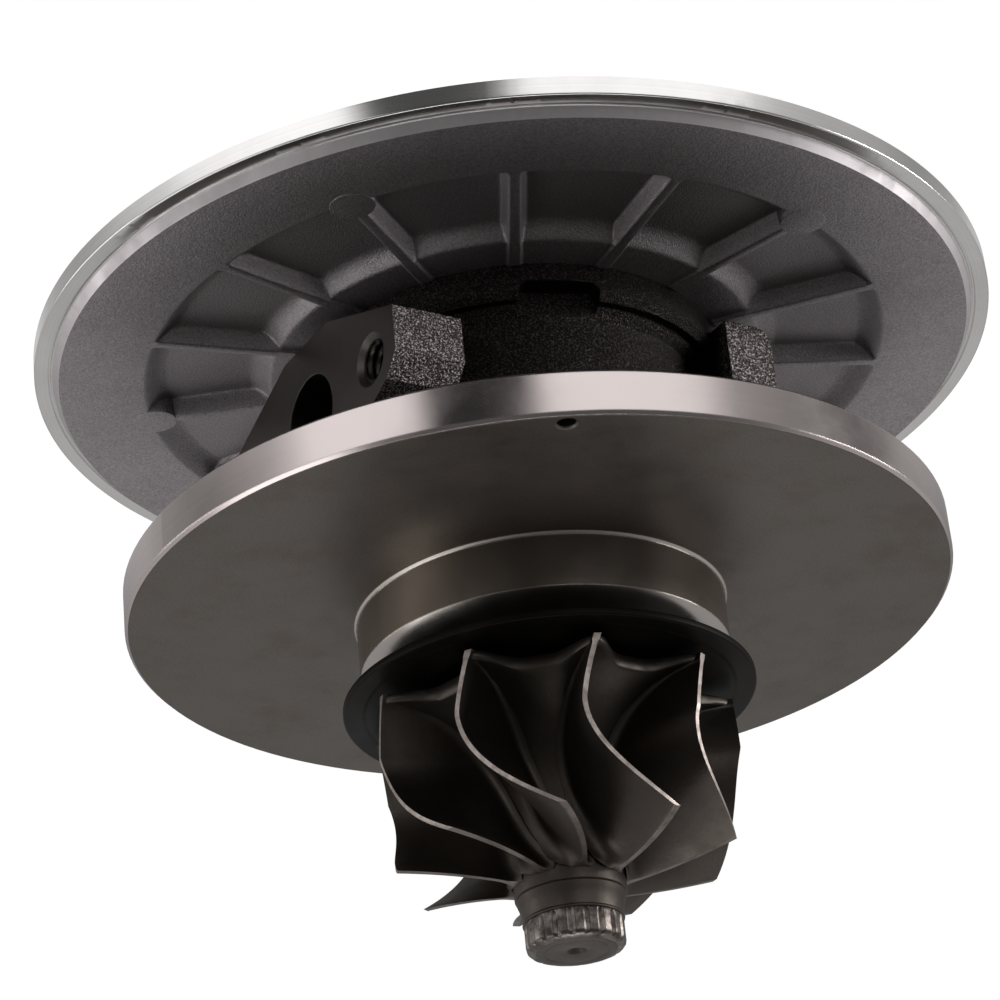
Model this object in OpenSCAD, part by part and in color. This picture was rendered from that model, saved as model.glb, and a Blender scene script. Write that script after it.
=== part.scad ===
// Turbocharger cartridge: the centre housing and the rotating assembly of a
// small variable-geometry diesel turbocharger. All sizes are in millimetres.
// The shaft axis is Z with the turbine end up, the origin lies on the axis in
// the front face of the turbine flange, and the oil drain faces +X.

/* [Turbine flange] */
// radius of the turbine flange
flange_r = 47.3; // [44:0.1:52]
// thickness of the turbine flange
flange_t = 5.3; // [4:0.1:6]
// chamfer of the flange's two rim edges
flange_edge = 0.4; // [0.2:0.1:0.7]
// distance of the vane ring's pin hole from the rim
pin_inset = 2; // [1.9:0.1:4]
// radius of the vane ring's pin hole
pin_hole_r = 1; // [0.8:0.1:1.2]
// radius of the collar in front of the flange
collar_r = 21.1; // [20:0.1:22.5]
// height of the collar's straight wall
collar_h = 6.5; // [5:0.1:7.5]

/* [Heat shield] */
// outer radius of the heat shield
shield_r = 23.4; // [22.5:0.1:25]
// sheet thickness of the heat shield
shield_t = 0.9; // [0.6:0.1:1]
// height of the shield's seat above the flange
shield_z = 10.3; // [9.9:0.1:10.4]

/* [Bearing housing] */
// radius of the housing's round middle
body_r = 21.2; // [20.4:0.1:21.5]
// reach of the backplate seat beyond the screws' circle
seat_edge = 3.9; // [3.4:0.1:4.1]
// thickness of that flange
seat_t = 4.1; // [3.5:0.1:5]
// width of the two cast notches in that flange
notch_w = 9.4; // [7:0.1:11]
// depth of the two cast notches
notch_d = 1.9; // [1:0.1:2.5]
// distance from the turbine flange's face to the backplate joint
joint_depth = 32.2; // [31.7:0.1:32.6]

/* [Oil drain] */
// distance of the drain pad's face from the axis
drain_x = 28; // [27:0.1:30]
// thickness of the drain pad
drain_t = 8.7; // [7:0.1:9.5]
// half length of the drain pad
drain_half = 20; // [18.5:0.1:22]
// half height of the drain pad at its middle
drain_rise = 10.9; // [9:0.1:10.9]
// half height of the drain pad at its ends
drain_end = 4; // [3.5:0.1:5]
// radius of the drain bore
drain_r = 5.3; // [4:0.1:6]
// distance between the two drain bolts
drain_pitch = 28.8; // [26:0.1:30]
// core radius of the drain bolts' M6 threads
drain_bolt_r = 2.5; // [2:0.1:2.8]
// depth of the drain bolts' holes
drain_bolt_len = 8; // [6:0.1:8.3]
// distance of the drain's axis behind the flange face
drain_depth = 20.1; // [19.7:0.1:21]

/* [Oil inlet] */
// distance of the inlet pad's face from the axis
inlet_x = 21.8; // [20.5:0.1:24]
// thickness of the inlet pad
inlet_t = 6.2; // [5:0.1:7]
// half length of the inlet pad
inlet_half = 21.5; // [18:0.1:23]
// corner radius of the inlet pad
inlet_round = 2; // [1:0.1:2.5]
// core radius of the inlet thread
inlet_r = 4.5; // [3.5:0.1:5]
// depth of the inlet thread
inlet_len = 9; // [7:0.1:9.5]
// radius of the oil drillings
feed_r = 1.1; // [0.8:0.1:1.4]

/* [Shaft and bearings] */
// radius of the shaft's journals
journal_r = 4; // [3.8:0.05:4.2]
// running clearance between a journal and its bush
journal_gap = 0.03; // [0.015:0.005:0.05]
// wall thickness of a floating bush
bush_wall = 2.02; // [1.8:0.01:2.2]
// running clearance between a bush and the housing
bush_gap = 0.05; // [0.03:0.005:0.08]
// length of a floating bush
bush_len = 6.5; // [5.5:0.1:6.6]
// radius of the threaded stub that carries the compressor wheel
stub_r = 2.5; // [2.3:0.05:2.6]
// radius of the shaft's seal boss behind the turbine wheel
boss_r = 7.45; // [7.2:0.05:7.6]
// clearance between turning and resting walls
turn_gap = 0.3; // [0.3:0.01:0.4]
// play between parts that fit together
fit_gap = 0.03; // [0.02:0.01:0.05]

/* [Thrust bearing] */
// radius of the thrust washer and of the thrust collar's disc
thrust_r = 9.5; // [9:0.1:9.8]
// radius of the thrust bearing plate
plate_r = 13.3; // [13:0.1:13.6]
// thickness of the thrust bearing plate
plate_t = 2.5; // [2:0.1:2.7]
// radius of the thrust collar's neck
neck_r = 4.9; // [4.5:0.1:5.1]
// radius of the thrust collar's seal boss
sleeve_r = 5.8; // [5.6:0.05:6]

/* [Compressor backplate] */
// outer radius of the backplate
plate_rim_r = 56.5; // [55.5:0.1:58]
// thickness of the backplate's rim
rim_t = 2.3; // [1.8:0.1:2.6]
// radius of the spigot that enters the compressor cover
spigot_r = 49; // [47.5:0.1:49.6]
// radius of the cast face's edge
face_r = 53.7; // [53:0.1:54.5]
// radius of the pockets' outer edge
pocket_r = 43.7; // [42.5:0.1:45]
// depth of the pockets
pocket_d = 2.1; // [1.5:0.1:2.4]
// radius of the raised hub
hub_r = 29; // [28:0.1:31]
// number of ribs
ribs = 15; // [10:5:20]
// width of a rib
rib_w = 1.6; // [1:0.1:2.4]
// radius of the round ejector marks
mark_r = 2.5; // [2:0.1:3]
// number of backplate screws
screws = 4; // [3:1:4]
// radius of the screws' pitch circle
screw_pitch_r = 20.3; // [19.9:0.1:20.6]

/* [Turbine wheel] */
// radius of the turbine wheel's inflow edge
inflow_r = 20.6; // [19.8:0.1:21.2]
// radius of the turbine wheel's outflow edge
outflow_r = 18.9; // [17.5:0.1:20]
// number of turbine blades
turbine_blades = 9; // [8:1:11]
// thickness of a turbine blade
turbine_blade_t = 0.75; // [0.6:0.05:1]
// radius of the scallops cut between the blades
scallop_r = 5.3; // [4.5:0.1:5.5]
// radius of the wheel's hub at its nose
nose_r = 6; // [5.6:0.1:6.3]
// number of flutes on the nose
flutes = 20; // [16:1:24]

/* [Compressor wheel] */
// radius of the compressor wheel's outflow edge
comp_r = 24.5; // [23.5:0.1:24.6]
// radius of the compressor wheel's inflow edge
comp_in_r = 17.3; // [16:0.1:18]
// length of the compressor wheel
comp_len = 21.8; // [20:0.1:24]
// number of full blades, with as many splitter blades between them
comp_blades = 6; // [5:1:7]
// thickness of a compressor blade
comp_blade_t = 0.6; // [0.5:0.05:0.8]

/* [Hidden] */
$fn = 96;

// heights along the axis
joint_z = -joint_depth;
drain_z = -drain_depth;
shield_top = shield_z + shield_t;
wheel_back = 12;
wheel_front = 13;
weld_z = 9.4;
boss_end = 1.2;
shoulder_z = -25;
washer_t = 1.8;
washer_end = shoulder_z - washer_t;
plate_top = washer_end - 0.1;
plate_end = plate_top - plate_t;
disc_top = plate_end - 0.1;
disc_end = disc_top - washer_t;
cast_z = joint_z + 0.4;
rim_top = cast_z - 1.1;
rim_end = rim_top - rim_t;
cone_w = 0.7;
recess_z = joint_z - 6.1;
diffuser_z = recess_z - 1.5;
sleeve_end = recess_z - 0.4;
spill_d = 2.4;
nut_top = sleeve_end - comp_len;
nut_t = 4;
stub_end = nut_top - nut_t - 1.5;
bush_tops = [-4.2, -17.8];
ring_t = 0.8;
ring_tops = [bush_tops[0] + ring_t + 0.1, bush_tops[0] - bush_len - 0.1, bush_tops[1] + ring_t + 0.1];

// radii that follow from the fits
bush_in = journal_r + journal_gap;
bush_out = bush_in + bush_wall;
bore_r = bush_out + bush_gap;
land_r = bore_r + 3;
seal_bore_r = boss_r + turn_gap;
sleeve_bore_r = sleeve_r + turn_gap;
washer_bore_r = thrust_r + 1;
plate_pocket_r = plate_r + fit_gap;
locator_in = thrust_r + 2;
chamber_r = 14;
shield_seat_r = 18.6;
bevel_h = 2.5;
collar_fillet = 0.35;
seat_fillet = 1.2;
seat_round = 0.8;
notch_round = 1.2;
root_flare = 5;
root_drop = 6;
neck_half = 11;
neck_drop = 8;
drain_neck_h = 17;
inlet_neck_h = 12;
shield_hole_r = boss_r + 1;
wheel_recess_r = comp_r + 0.7;

// seals and small fasteners
seal_w = 1.2;
seal_split = 0.4;
seal_gap = 0.05;
turbine_seal_z = 5;
comp_seal_z = recess_z + 2;
cord_r = 0.7;
cord_inset = 0.05;
cover_cord_z = (rim_end + diffuser_z) / 2;
screw_r = 2.5;
screw_grip = 3.1;
seat_r = screw_pitch_r + seat_edge;
joint_cord_r = (plate_r + screw_pitch_r - screw_r) / 2;
screw_head_r = 4.6;
screw_head_t = screw_head_r - screw_r;
dowel_r = 1.2;
dowel_edge = 1.6;
dowel_pitch_r = plate_r - dowel_edge;
dowel_a = 115;
dowel_len = 2.2;
pin_a = -63;
pin_depth = 3.5;
notch_a = 71.5;
mark_steps = 3;

// turbine blade shape
neck_in = 6.3;
disc_r = inflow_r - 0.3;
hub_arc = disc_r - neck_in;
blade_root_r = 16;
scallop_in = 15.8;
centre_d = 2;
kink_z = 18.8;
outflow_z = 30.6;
blade_start = wheel_back + 0.1;
blade_end = 33;
peak_z = 19.5;
turbine_turn = 22.5 + 30;
nose_z = 34.4;
flute_z = 37.3;
flute_end = 40.2;
nose_end = 40.6;
flute_r = 5.5;

// compressor wheel shape, measured from its back
comp_rim_t = 0.8;
comp_nose_r = 6.2;
comp_arc = comp_r - comp_nose_r;
comp_out_w = 2.8;
comp_lead = comp_len - 1.2;
comp_edge = comp_r - 0.2;

// upright cylinder between two heights
module rod(r, z0, z1) {
    translate([0, 0, min(z0, z1)])
        cylinder(r = r, h = abs(z1 - z0));
}

// upright tube between two heights
module tube(r_out, r_in, z0, z1) {
    difference() {
        rod(r_out, z0, z1);
        rod(r_in, min(z0, z1) - 1, max(z0, z1) + 1);
    }
}

// copies of the children, evenly turned about the axis
module around(count, start = 0) {
    for (i = [0 : count - 1])
        rotate([0, 0, start + i * 360 / count])
            children();
}

// solid skinned over a row of sections, each one a strip of paired points
module skin(sections) {
    n = len(sections[0]);
    m = len(sections);
    sides = [for (i = [0 : m - 2], j = [0 : n - 1])
        let (a = i * n + j, b = i * n + (j + 1) % n)
        each [[a, b + n, b], [a, a + n, b + n]]];
    ends = [for (j = [0 : n / 2 - 2])
        let (a = j, b = j + 1, c = n - 2 - j, d = n - 1 - j, last = (m - 1) * n)
        each [[d, b, c], [d, a, b], [last + a, last + c, last + b], [last + a, last + d, last + c]]];
    polyhedron(points = [for (s = sections) each s], faces = concat(ends, sides));
}

// blade section along a straight line from the root to the tip, both [r, z],
// at one angle and with a thickness measured round the axis
function blade_section(root, tip, angle, t, cuts) =
    let (along = [for (i = [0 : cuts]) root + (tip - root) * i / cuts],
        point = function (p, side) [
            p[0] * cos(angle) - side * t * sin(angle) / 2,
            p[0] * sin(angle) + side * t * cos(angle) / 2,
            p[1]])
    concat([for (p = along) point(p, -1)], [for (i = [cuts : -1 : 0]) point(along[i], 1)]);

// bearing housing: the iron casting with the turbine flange

// outline of the drain pad in its own plane, the flange end up
module drain_outline() {
    corner = 2.5;
    polygon([
        [-drain_half, -drain_end], [-drain_half, drain_end - corner],
        [-drain_half + corner, drain_end], [0, drain_rise],
        [drain_half - corner, drain_end], [drain_half, drain_end - corner],
        [drain_half, -drain_end], [drain_r, -drain_rise + 1], [-drain_r, -drain_rise + 1]]);
}

// side view of the inlet pad, with the outer corners rounded
module inlet_outline() {
    top = joint_z + 1.7;
    height = 16;
    union() {
        translate([-inlet_x + inlet_round, top])
            square([inlet_t - inlet_round, height]);
        translate([-inlet_x, top + inlet_round])
            square([inlet_round + 1, height - 2 * inlet_round]);
        for (z = [top + inlet_round, top + height - inlet_round])
            translate([-inlet_x + inlet_round, z])
                circle(r = inlet_round);
    }
}

// turned outside of the casting: collar, flange, middle and backplate seat
module housing_turning() {
    root_r = body_r + root_flare;
    rotate_extrude()
        polygon([
            [0, shield_z], [shield_seat_r, shield_z], [shield_seat_r, collar_h + bevel_h],
            [collar_r, collar_h], [collar_r, collar_fillet], [collar_r + collar_fillet, 0],
            [flange_r - flange_edge, 0], [flange_r, -flange_edge],
            [flange_r, -flange_t + flange_edge], [flange_r - flange_edge, -flange_t],
            [root_r, -flange_t], [body_r, -flange_t - root_drop],
            [body_r, joint_z + seat_t + seat_fillet], [body_r + seat_fillet, joint_z + seat_t],
            [seat_r - seat_round, joint_z + seat_t], [seat_r, joint_z + seat_t - seat_round],
            [seat_r, joint_z], [0, joint_z]]);
}

// outline of a cast notch, its floor corners rounded
module notch_outline() {
    half = notch_w / 2;
    union() {
        translate([-half, notch_round])
            square([notch_w, notch_d + 1 - notch_round]);
        translate([-half + notch_round, 0])
            square([notch_w - 2 * notch_round, notch_d + 1]);
        for (s = [-1, 1])
            translate([s * (half - notch_round), notch_round])
                circle(r = notch_round);
    }
}

// pads, necks and notches of the raw casting
module housing_casting() {
    difference() {
        union() {
            housing_turning();
            translate([drain_x, 0, drain_z])
                rotate([90, 0, -90])
                    linear_extrude(drain_t)
                        drain_outline();
            translate([0, -neck_half, drain_z - neck_drop])
                cube([drain_x - drain_t + 1, 2 * neck_half, drain_neck_h]);
            translate([0, inlet_half, 0])
                rotate([90, 0, 0])
                    linear_extrude(2 * inlet_half)
                        inlet_outline();
            translate([-inlet_x + inlet_t - 1, -neck_half, drain_z - neck_drop])
                cube([inlet_x - inlet_t + 1, 2 * neck_half, inlet_neck_h]);
        }
        for (a = [-notch_a, notch_a])
            rotate([0, 0, a])
                translate([body_r, 0, joint_z + seat_t - notch_d])
                    rotate([90, 0, 90])
                        linear_extrude(seat_r)
                            notch_outline();
    }
}

// bores that hold the shaft's bearings and seals
module housing_bores() {
    slinger_r = land_r + 0.8;
    rod(bore_r, joint_z - 1, boss_end);
    rod(seal_bore_r, boss_end - 0.5, shield_z + 1);
    rod(slinger_r, -2.6, -0.6);
    rod(washer_bore_r, joint_z - 1, shoulder_z + 0.2);
    rod(plate_pocket_r, joint_z - 1, plate_top);
    rod(shield_seat_r - 2.5, shield_z - 2.6, shield_z + 1);
    for (z = ring_tops)
        rod(bore_r + 0.6, z - ring_t - 0.05, z + 0.05);
}

// oil chamber round the lower half of the bearing land, with its drain
module housing_chamber() {
    chamber_top = -0.6;
    chamber_end = -24.5;
    sweep = 220;
    rotate([0, 0, -sweep / 2])
        rotate_extrude(angle = sweep)
            translate([land_r, chamber_end])
                square([chamber_r - land_r, chamber_top - chamber_end]);
    translate([land_r + 1, 0, drain_z])
        rotate([0, 90, 0])
            cylinder(r = drain_r, h = drain_x);
    translate([0, 0, (bush_tops[0] - bush_len + bush_tops[1]) / 2])
        rotate([0, 90, 0])
            cylinder(r = 2, h = chamber_r);
    translate([chamber_r - 2.4, 0, 0])
        rod(2.2, chamber_end + 1, plate_top - 1);
}

// threaded holes and oil drillings
module housing_drillings() {
    feed_x = -inlet_x + inlet_len - 1;
    for (s = [-1, 1])
        translate([drain_x, s * drain_pitch / 2, drain_z])
            rotate([0, -90, 0]) {
                translate([0, 0, -1])
                    cylinder(r = drain_bolt_r, h = drain_bolt_len + 1);
                translate([0, 0, -0.01])
                    cylinder(r1 = drain_bolt_r + 0.61, r2 = drain_bolt_r, h = 0.61);
            }
    translate([-inlet_x - 1, 0, drain_z])
        rotate([0, 90, 0])
            cylinder(r = inlet_r, h = inlet_len + 1);
    for (top = bush_tops) {
        foot = top - bush_len / 2;
        run = -feed_x;
        rise = foot - drain_z;
        translate([feed_x, 0, drain_z])
            rotate([0, 90 - atan2(rise, run), 0])
                cylinder(r = feed_r, h = norm([run, rise]) - journal_r);
    }
    around(screws, 45)
        translate([screw_pitch_r, 0, 0])
            rod(screw_r, joint_z - 1, joint_z + screw_grip + turn_gap);
    for (s = [-1, 1])
        rotate([0, 0, s * dowel_a])
            translate([dowel_pitch_r, 0, 0])
                rod(dowel_r, joint_z - 1, plate_top + dowel_len);
    rotate([0, 0, pin_a])
        translate([flange_r - pin_inset, 0, 0]) {
            rod(pin_hole_r, -pin_depth, 1);
            translate([0, 0, -0.2])
                cylinder(r1 = pin_hole_r, r2 = pin_hole_r + 0.21, h = 0.21);
        }
}

module bearing_housing() {
    color("#3a3836")
        difference() {
            housing_casting();
            housing_bores();
            housing_chamber();
            housing_drillings();
        }
}

// heat shield: pressed sheet on the collar, turned down at its hole
module heat_shield() {
    lip = 1.2;
    color("#2a2928")
        rotate_extrude()
            polygon([
                [shield_hole_r, shield_z - lip], [shield_hole_r + shield_t, shield_z - lip],
                [shield_hole_r + shield_t, shield_z], [shield_r, shield_z],
                [shield_r, shield_top], [shield_hole_r, shield_top]]);
}

// turbine wheel: scalloped disc, blades and fluted nose

// radius of the wheel's hub at a height
function turbine_hub(z) =
    z >= wheel_front + hub_arc ? neck_in
    : neck_in + hub_arc - sqrt(hub_arc * hub_arc - pow(wheel_front + hub_arc - max(z, wheel_front), 2));

// outer edge of a blade: straight inflow edge, curved shroud, sloped outflow edge
function turbine_tip(z) =
    z <= kink_z ? inflow_r
    : z <= outflow_z ? outflow_r + (inflow_r - outflow_r) * pow((outflow_z - z) / (outflow_z - kink_z), 2)
    : outflow_r - (outflow_r - neck_in - 0.8) * (z - outflow_z) / (blade_end - outflow_z);

// angle of a blade at a height, from its most forward height
function turbine_wrap(z) =
    z >= peak_z ? -30 * pow((z - peak_z) / 11.1, 2) : -6 * pow((peak_z - z) / 7.4, 1.3);

// slant of a blade at a height, in degrees per millimetre
function turbine_slant(z) = turbine_wrap(z + 0.5) - turbine_wrap(z - 0.5);

module turbine_blade() {
    steps = 14;
    skin([for (i = [0 : steps])
        let (z = blade_start + (blade_end - blade_start) * i / steps,
            tip = turbine_tip(z),
            root = min(turbine_hub(z), blade_root_r) - 0.8,
            lean = turbine_slant(z) * PI / 180 * (tip + root) / 2)
        blade_section([root, z], [tip, z], turbine_wrap(z), turbine_blade_t * norm([1, lean]), 2)]);
}

// disc, hub and nose without blades
module turbine_core() {
    hole_r = 1.1;
    difference() {
        rotate_extrude()
            difference() {
                polygon([
                    [0, weld_z], [boss_r, weld_z], [boss_r, wheel_back], [disc_r, wheel_back],
                    [disc_r, wheel_front + hub_arc],
                    [neck_in, wheel_front + hub_arc], [nose_r + 0.2, nose_z], [nose_r, nose_z],
                    [flute_r, flute_z], [flute_r, flute_end], [flute_r - 0.8, nose_end], [0, nose_end]]);
                translate([disc_r, wheel_front + hub_arc])
                    circle(r = hub_arc);
            }
        around(turbine_blades, turbine_wrap(wheel_back) + 180 / turbine_blades)
            translate([scallop_r + scallop_in, 0, 0])
                rod(scallop_r, wheel_back - 0.5, wheel_front + 3);
        around(flutes)
            translate([flute_r + 0.15, 0, 0])
                rotate([0, 0, 45])
                    translate([-0.35, -0.35, flute_z])
                        cube([0.7, 0.7, nose_end]);
        rod(hole_r, nose_end - centre_d, nose_end + 1);
    }
}

module turbine_wheel() {
    color("#4a423a")
        rotate([0, 0, turbine_turn])
            union() {
                turbine_core();
                around(turbine_blades)
                    turbine_blade();
            }
}

// shaft with its seal boss, journals and stub
module rotor_shaft() {
    groove_in = boss_r - 1.4;
    relief = 0.3;
    color("#b9bbbd")
        difference() {
            rotate_extrude()
                polygon([
                    [0, weld_z], [boss_r, weld_z],
                    [boss_r, turbine_seal_z + seal_w / 2 + seal_gap],
                    [groove_in, turbine_seal_z + seal_w / 2 + seal_gap],
                    [groove_in, turbine_seal_z - seal_w / 2 - seal_gap],
                    [boss_r, turbine_seal_z - seal_w / 2 - seal_gap],
                    [boss_r, boss_end + 1.2], [journal_r, boss_end - 2.2],
                    [journal_r, bush_tops[0] - bush_len - 1],
                    [journal_r - relief, bush_tops[0] - bush_len - 1 - relief],
                    [journal_r - relief, bush_tops[1] + 1 + relief],
                    [journal_r, bush_tops[1] + 1], [journal_r, shoulder_z],
                    [stub_r, shoulder_z], [stub_r, stub_end + 0.4],
                    [stub_r - 0.4, stub_end], [0, stub_end]]);
            rod(0.8, stub_end - 1, stub_end + 1.5);
        }
}

// split sealing ring about a height
module seal_ring(r_out, r_in, z) {
    difference() {
        tube(r_out, r_in, z - seal_w / 2, z + seal_w / 2);
        translate([0, -seal_split / 2, z - seal_w])
            cube([r_out + 1, seal_split, 2 * seal_w]);
    }
}

module turbine_seal_ring() {
    color("#8d8f90")
        seal_ring(seal_bore_r - fit_gap, boss_r - 1, turbine_seal_z);
}

module compressor_seal_ring() {
    color("#8d8f90")
        seal_ring(sleeve_bore_r - fit_gap, sleeve_r - 0.8, comp_seal_z);
}

// floating bush with oil holes and bevelled ends
module bush(top) {
    bevel = 0.4;
    holes = 6;
    difference() {
        rotate_extrude()
            polygon([
                [bush_in, top], [bush_out - bevel, top], [bush_out, top - bevel],
                [bush_out, top - bush_len + bevel], [bush_out - bevel, top - bush_len],
                [bush_in, top - bush_len]]);
        around(holes)
            translate([0, 0, top - bush_len / 2])
                rotate([0, 90, 0])
                    cylinder(r = 0.7, h = bush_out + 1);
    }
}

module turbine_bush() {
    color("#c69b4a")
        bush(bush_tops[0]);
}

module compressor_bush() {
    color("#c69b4a")
        bush(bush_tops[1]);
}

// open spring ring in its groove of the bearing bore
module circlip(top) {
    opening = 60;
    color("#7d7f82")
        rotate([0, 0, opening / 2])
            rotate_extrude(angle = 360 - opening)
                translate([journal_r + 0.8, top - ring_t])
                    square([bore_r + 0.6 - fit_gap - journal_r - 0.8, ring_t]);
}

module turbine_outer_circlip() {
    circlip(ring_tops[0]);
}

module turbine_inner_circlip() {
    circlip(ring_tops[1]);
}

module compressor_circlip() {
    circlip(ring_tops[2]);
}

// thrust bearing: washer and collar turn, the bronze plate rests between them
module thrust_washer() {
    color("#9fa2a5")
        tube(thrust_r, stub_r + fit_gap, washer_end, shoulder_z);
}

module thrust_bearing() {
    gap_w = 8;
    color("#b5873c")
        difference() {
            tube(plate_r, neck_r + turn_gap, plate_end, plate_top);
            translate([thrust_r - 1, -gap_w / 2, plate_end - 1])
                cube([plate_r, gap_w, plate_t + 2]);
            for (s = [-1, 1])
                rotate([0, 0, s * dowel_a])
                    translate([dowel_pitch_r, 0, 0])
                        rod(dowel_r + fit_gap, plate_end - 1, plate_top + 1);
            around(6, 30)
                translate([neck_r + 2, 0, plate_end + plate_t / 2])
                    rod(0.5, -plate_t, plate_t);
        }
}

module thrust_dowels() {
    color("#9fa2a5")
        for (s = [-1, 1])
            rotate([0, 0, s * dowel_a])
                translate([dowel_pitch_r, 0, 0])
                    rod(dowel_r - fit_gap, plate_end, plate_top + dowel_len - 0.2);
}

module thrust_collar() {
    groove_in = sleeve_r - 1.2;
    color("#a5a8aa")
        rotate_extrude()
            polygon([
                [stub_r + fit_gap, washer_end], [neck_r, washer_end], [neck_r, disc_top],
                [thrust_r, disc_top], [thrust_r, disc_end], [sleeve_r, disc_end],
                [sleeve_r, comp_seal_z + seal_w / 2 + seal_gap],
                [groove_in, comp_seal_z + seal_w / 2 + seal_gap],
                [groove_in, comp_seal_z - seal_w / 2 - seal_gap],
                [sleeve_r, comp_seal_z - seal_w / 2 - seal_gap],
                [sleeve_r, sleeve_end], [stub_r + fit_gap, sleeve_end]]);
}

// compressor backplate: die-cast plate with ribbed pockets and a turned rim
module backplate_turning() {
    edge = 0.3;
    groove_w = 0.35;
    locator_r = plate_r - fit_gap;
    spill_z = joint_z - spill_d;
    cord_w = 2 * cord_r + 0.4;
    rotate_extrude()
        difference() {
            polygon([
                [sleeve_bore_r, spill_z], [locator_in, spill_z], [locator_in, plate_end - fit_gap],
                [locator_r, plate_end - fit_gap], [locator_r, joint_z], [hub_r, joint_z],
                [hub_r + pocket_d - 0.4, cast_z - pocket_d],
                [pocket_r - pocket_d, cast_z - pocket_d], [pocket_r, cast_z],
                [face_r, cast_z], [face_r + cone_w, rim_top], [plate_rim_r - edge, rim_top],
                [plate_rim_r, rim_top - edge], [plate_rim_r, rim_end + edge],
                [plate_rim_r - edge, rim_end], [spigot_r, rim_end],
                [spigot_r, diffuser_z + edge], [spigot_r - edge, diffuser_z],
                [wheel_recess_r, diffuser_z], [wheel_recess_r, recess_z], [sleeve_bore_r, recess_z]]);
            translate([joint_cord_r - cord_w / 2, joint_z - 2 * cord_r])
                square([cord_w, 2 * cord_r + 1]);
            translate([spigot_r - 2 * cord_r - cord_inset, cover_cord_z - cord_w / 2])
                square([2 * cord_r + 1, cord_w]);
            translate([face_r + cone_w + 0.15, rim_top - groove_w])
                square([groove_w, groove_w + 1]);
        }
}

module backplate() {
    rib_start = 180 / ribs;
    rib_in = seat_r + turn_gap;
    floor_z = cast_z - pocket_d;
    color("#77736f")
        difference() {
            union() {
                backplate_turning();
                around(ribs, rib_start)
                    translate([rib_in, -rib_w / 2, floor_z - 0.5])
                        cube([pocket_r + 0.5 - rib_in, rib_w, pocket_d + 0.5]);
                around(ribs / mark_steps, rib_start + 360 / ribs)
                    translate([pocket_r - 0.4, 0, 0])
                        rod(mark_r, floor_z - 0.5, cast_z + 0.05);
            }
            around(screws, 45)
                translate([screw_pitch_r, 0, 0]) {
                    rod(screw_r + fit_gap, recess_z - 1, joint_z + 1);
                    translate([0, 0, recess_z - 0.01])
                        cylinder(r1 = screw_head_r + fit_gap, r2 = screw_r + fit_gap, h = screw_head_t + 0.01);
                }
        }
}

// round cords that seal the joint to the housing and to the compressor cover
module cord(ring_r, z, section_r) {
    color("#1c1c1d")
        rotate_extrude()
            translate([ring_r, z])
                circle(r = section_r);
}

module joint_seal_ring() {
    cord(joint_cord_r, joint_z - cord_r, cord_r - fit_gap / 2);
}

module cover_seal_ring() {
    cord(spigot_r - cord_inset - cord_r, cover_cord_z, cord_r - fit_gap / 2);
}

// countersunk socket screws of the backplate
module backplate_screws() {
    socket_r = 1.8;
    color("#5d5f61")
        around(screws, 45)
            translate([screw_pitch_r, 0, 0])
                difference() {
                    union() {
                        rod(screw_r - fit_gap, recess_z + 0.1, joint_z + screw_grip);
                        translate([0, 0, recess_z + 0.1])
                            cylinder(r1 = screw_head_r - 0.1, r2 = screw_r - fit_gap, h = screw_head_t - 0.1);
                    }
                    translate([0, 0, recess_z - 0.9])
                        cylinder(r = socket_r, h = 2.4, $fn = 6);
                }
}

// compressor wheel, drawn with its back up

// hub line of the blades from inflow (0) to outflow (90), as [r, z]
function comp_root(a) = let (drop = comp_lead - comp_rim_t)
    [comp_nose_r - 0.5 + (comp_edge - comp_nose_r + 0.5) * (1 - cos(a)),
        sleeve_end - comp_rim_t + 0.3 - drop * (1 - sin(a))];

// tip line of the blades
function comp_tip(a) = let (drop = comp_lead - comp_rim_t - comp_out_w)
    [comp_in_r + (comp_edge - comp_in_r) * (1 - cos(a)),
        sleeve_end - comp_rim_t - comp_out_w - drop * (1 - sin(a))];

// angle of a blade along the flow
function comp_wrap(a) = 50 * pow(1 - sin(a), 1.4) - 28 * pow(1 - cos(a), 1.5);

module comp_blade(first) {
    steps = 12;
    skin([for (i = [0 : steps])
        let (a = first + (90 - first) * i / steps,
            turn = (comp_wrap(min(a + 2, 90)) - comp_wrap(max(a - 2, 0))) * PI / 180,
            move = norm(comp_tip(min(a + 2, 90)) - comp_tip(max(a - 2, 0))),
            lean = turn / move * comp_tip(a)[0])
        blade_section(comp_root(a), comp_tip(a), comp_wrap(a), comp_blade_t * norm([1, lean]), 2)]);
}

module comp_core() {
    front_z = sleeve_end - comp_len;
    arc_z = sleeve_end - comp_rim_t - comp_arc;
    difference() {
        rotate_extrude()
            difference() {
                polygon([
                    [stub_r + fit_gap, sleeve_end], [comp_r, sleeve_end],
                    [comp_r, sleeve_end - comp_rim_t], [comp_r, arc_z],
                    [comp_nose_r, arc_z], [comp_nose_r, front_z + 1],
                    [comp_nose_r - 1, front_z], [stub_r + fit_gap, front_z]]);
                translate([comp_r, arc_z])
                    circle(r = comp_arc);
            }
    }
}

module compressor_wheel() {
    color("#c3c6c9")
        union() {
            comp_core();
            around(comp_blades)
                comp_blade(0);
            around(comp_blades, 180 / comp_blades)
                comp_blade(32);
        }
}

// flanged hexagon nut on the stub
module shaft_nut() {
    nut_r = 4.4;
    color("#6a6c6e")
        difference() {
            union() {
                rod(nut_r + 0.7, nut_top, nut_top - 0.9);
                translate([0, 0, nut_top - nut_t])
                    cylinder(r = nut_r, h = nut_t, $fn = 6);
            }
            rod(stub_r + fit_gap, nut_top + 1, nut_top - nut_t - 1);
        }
}

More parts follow.
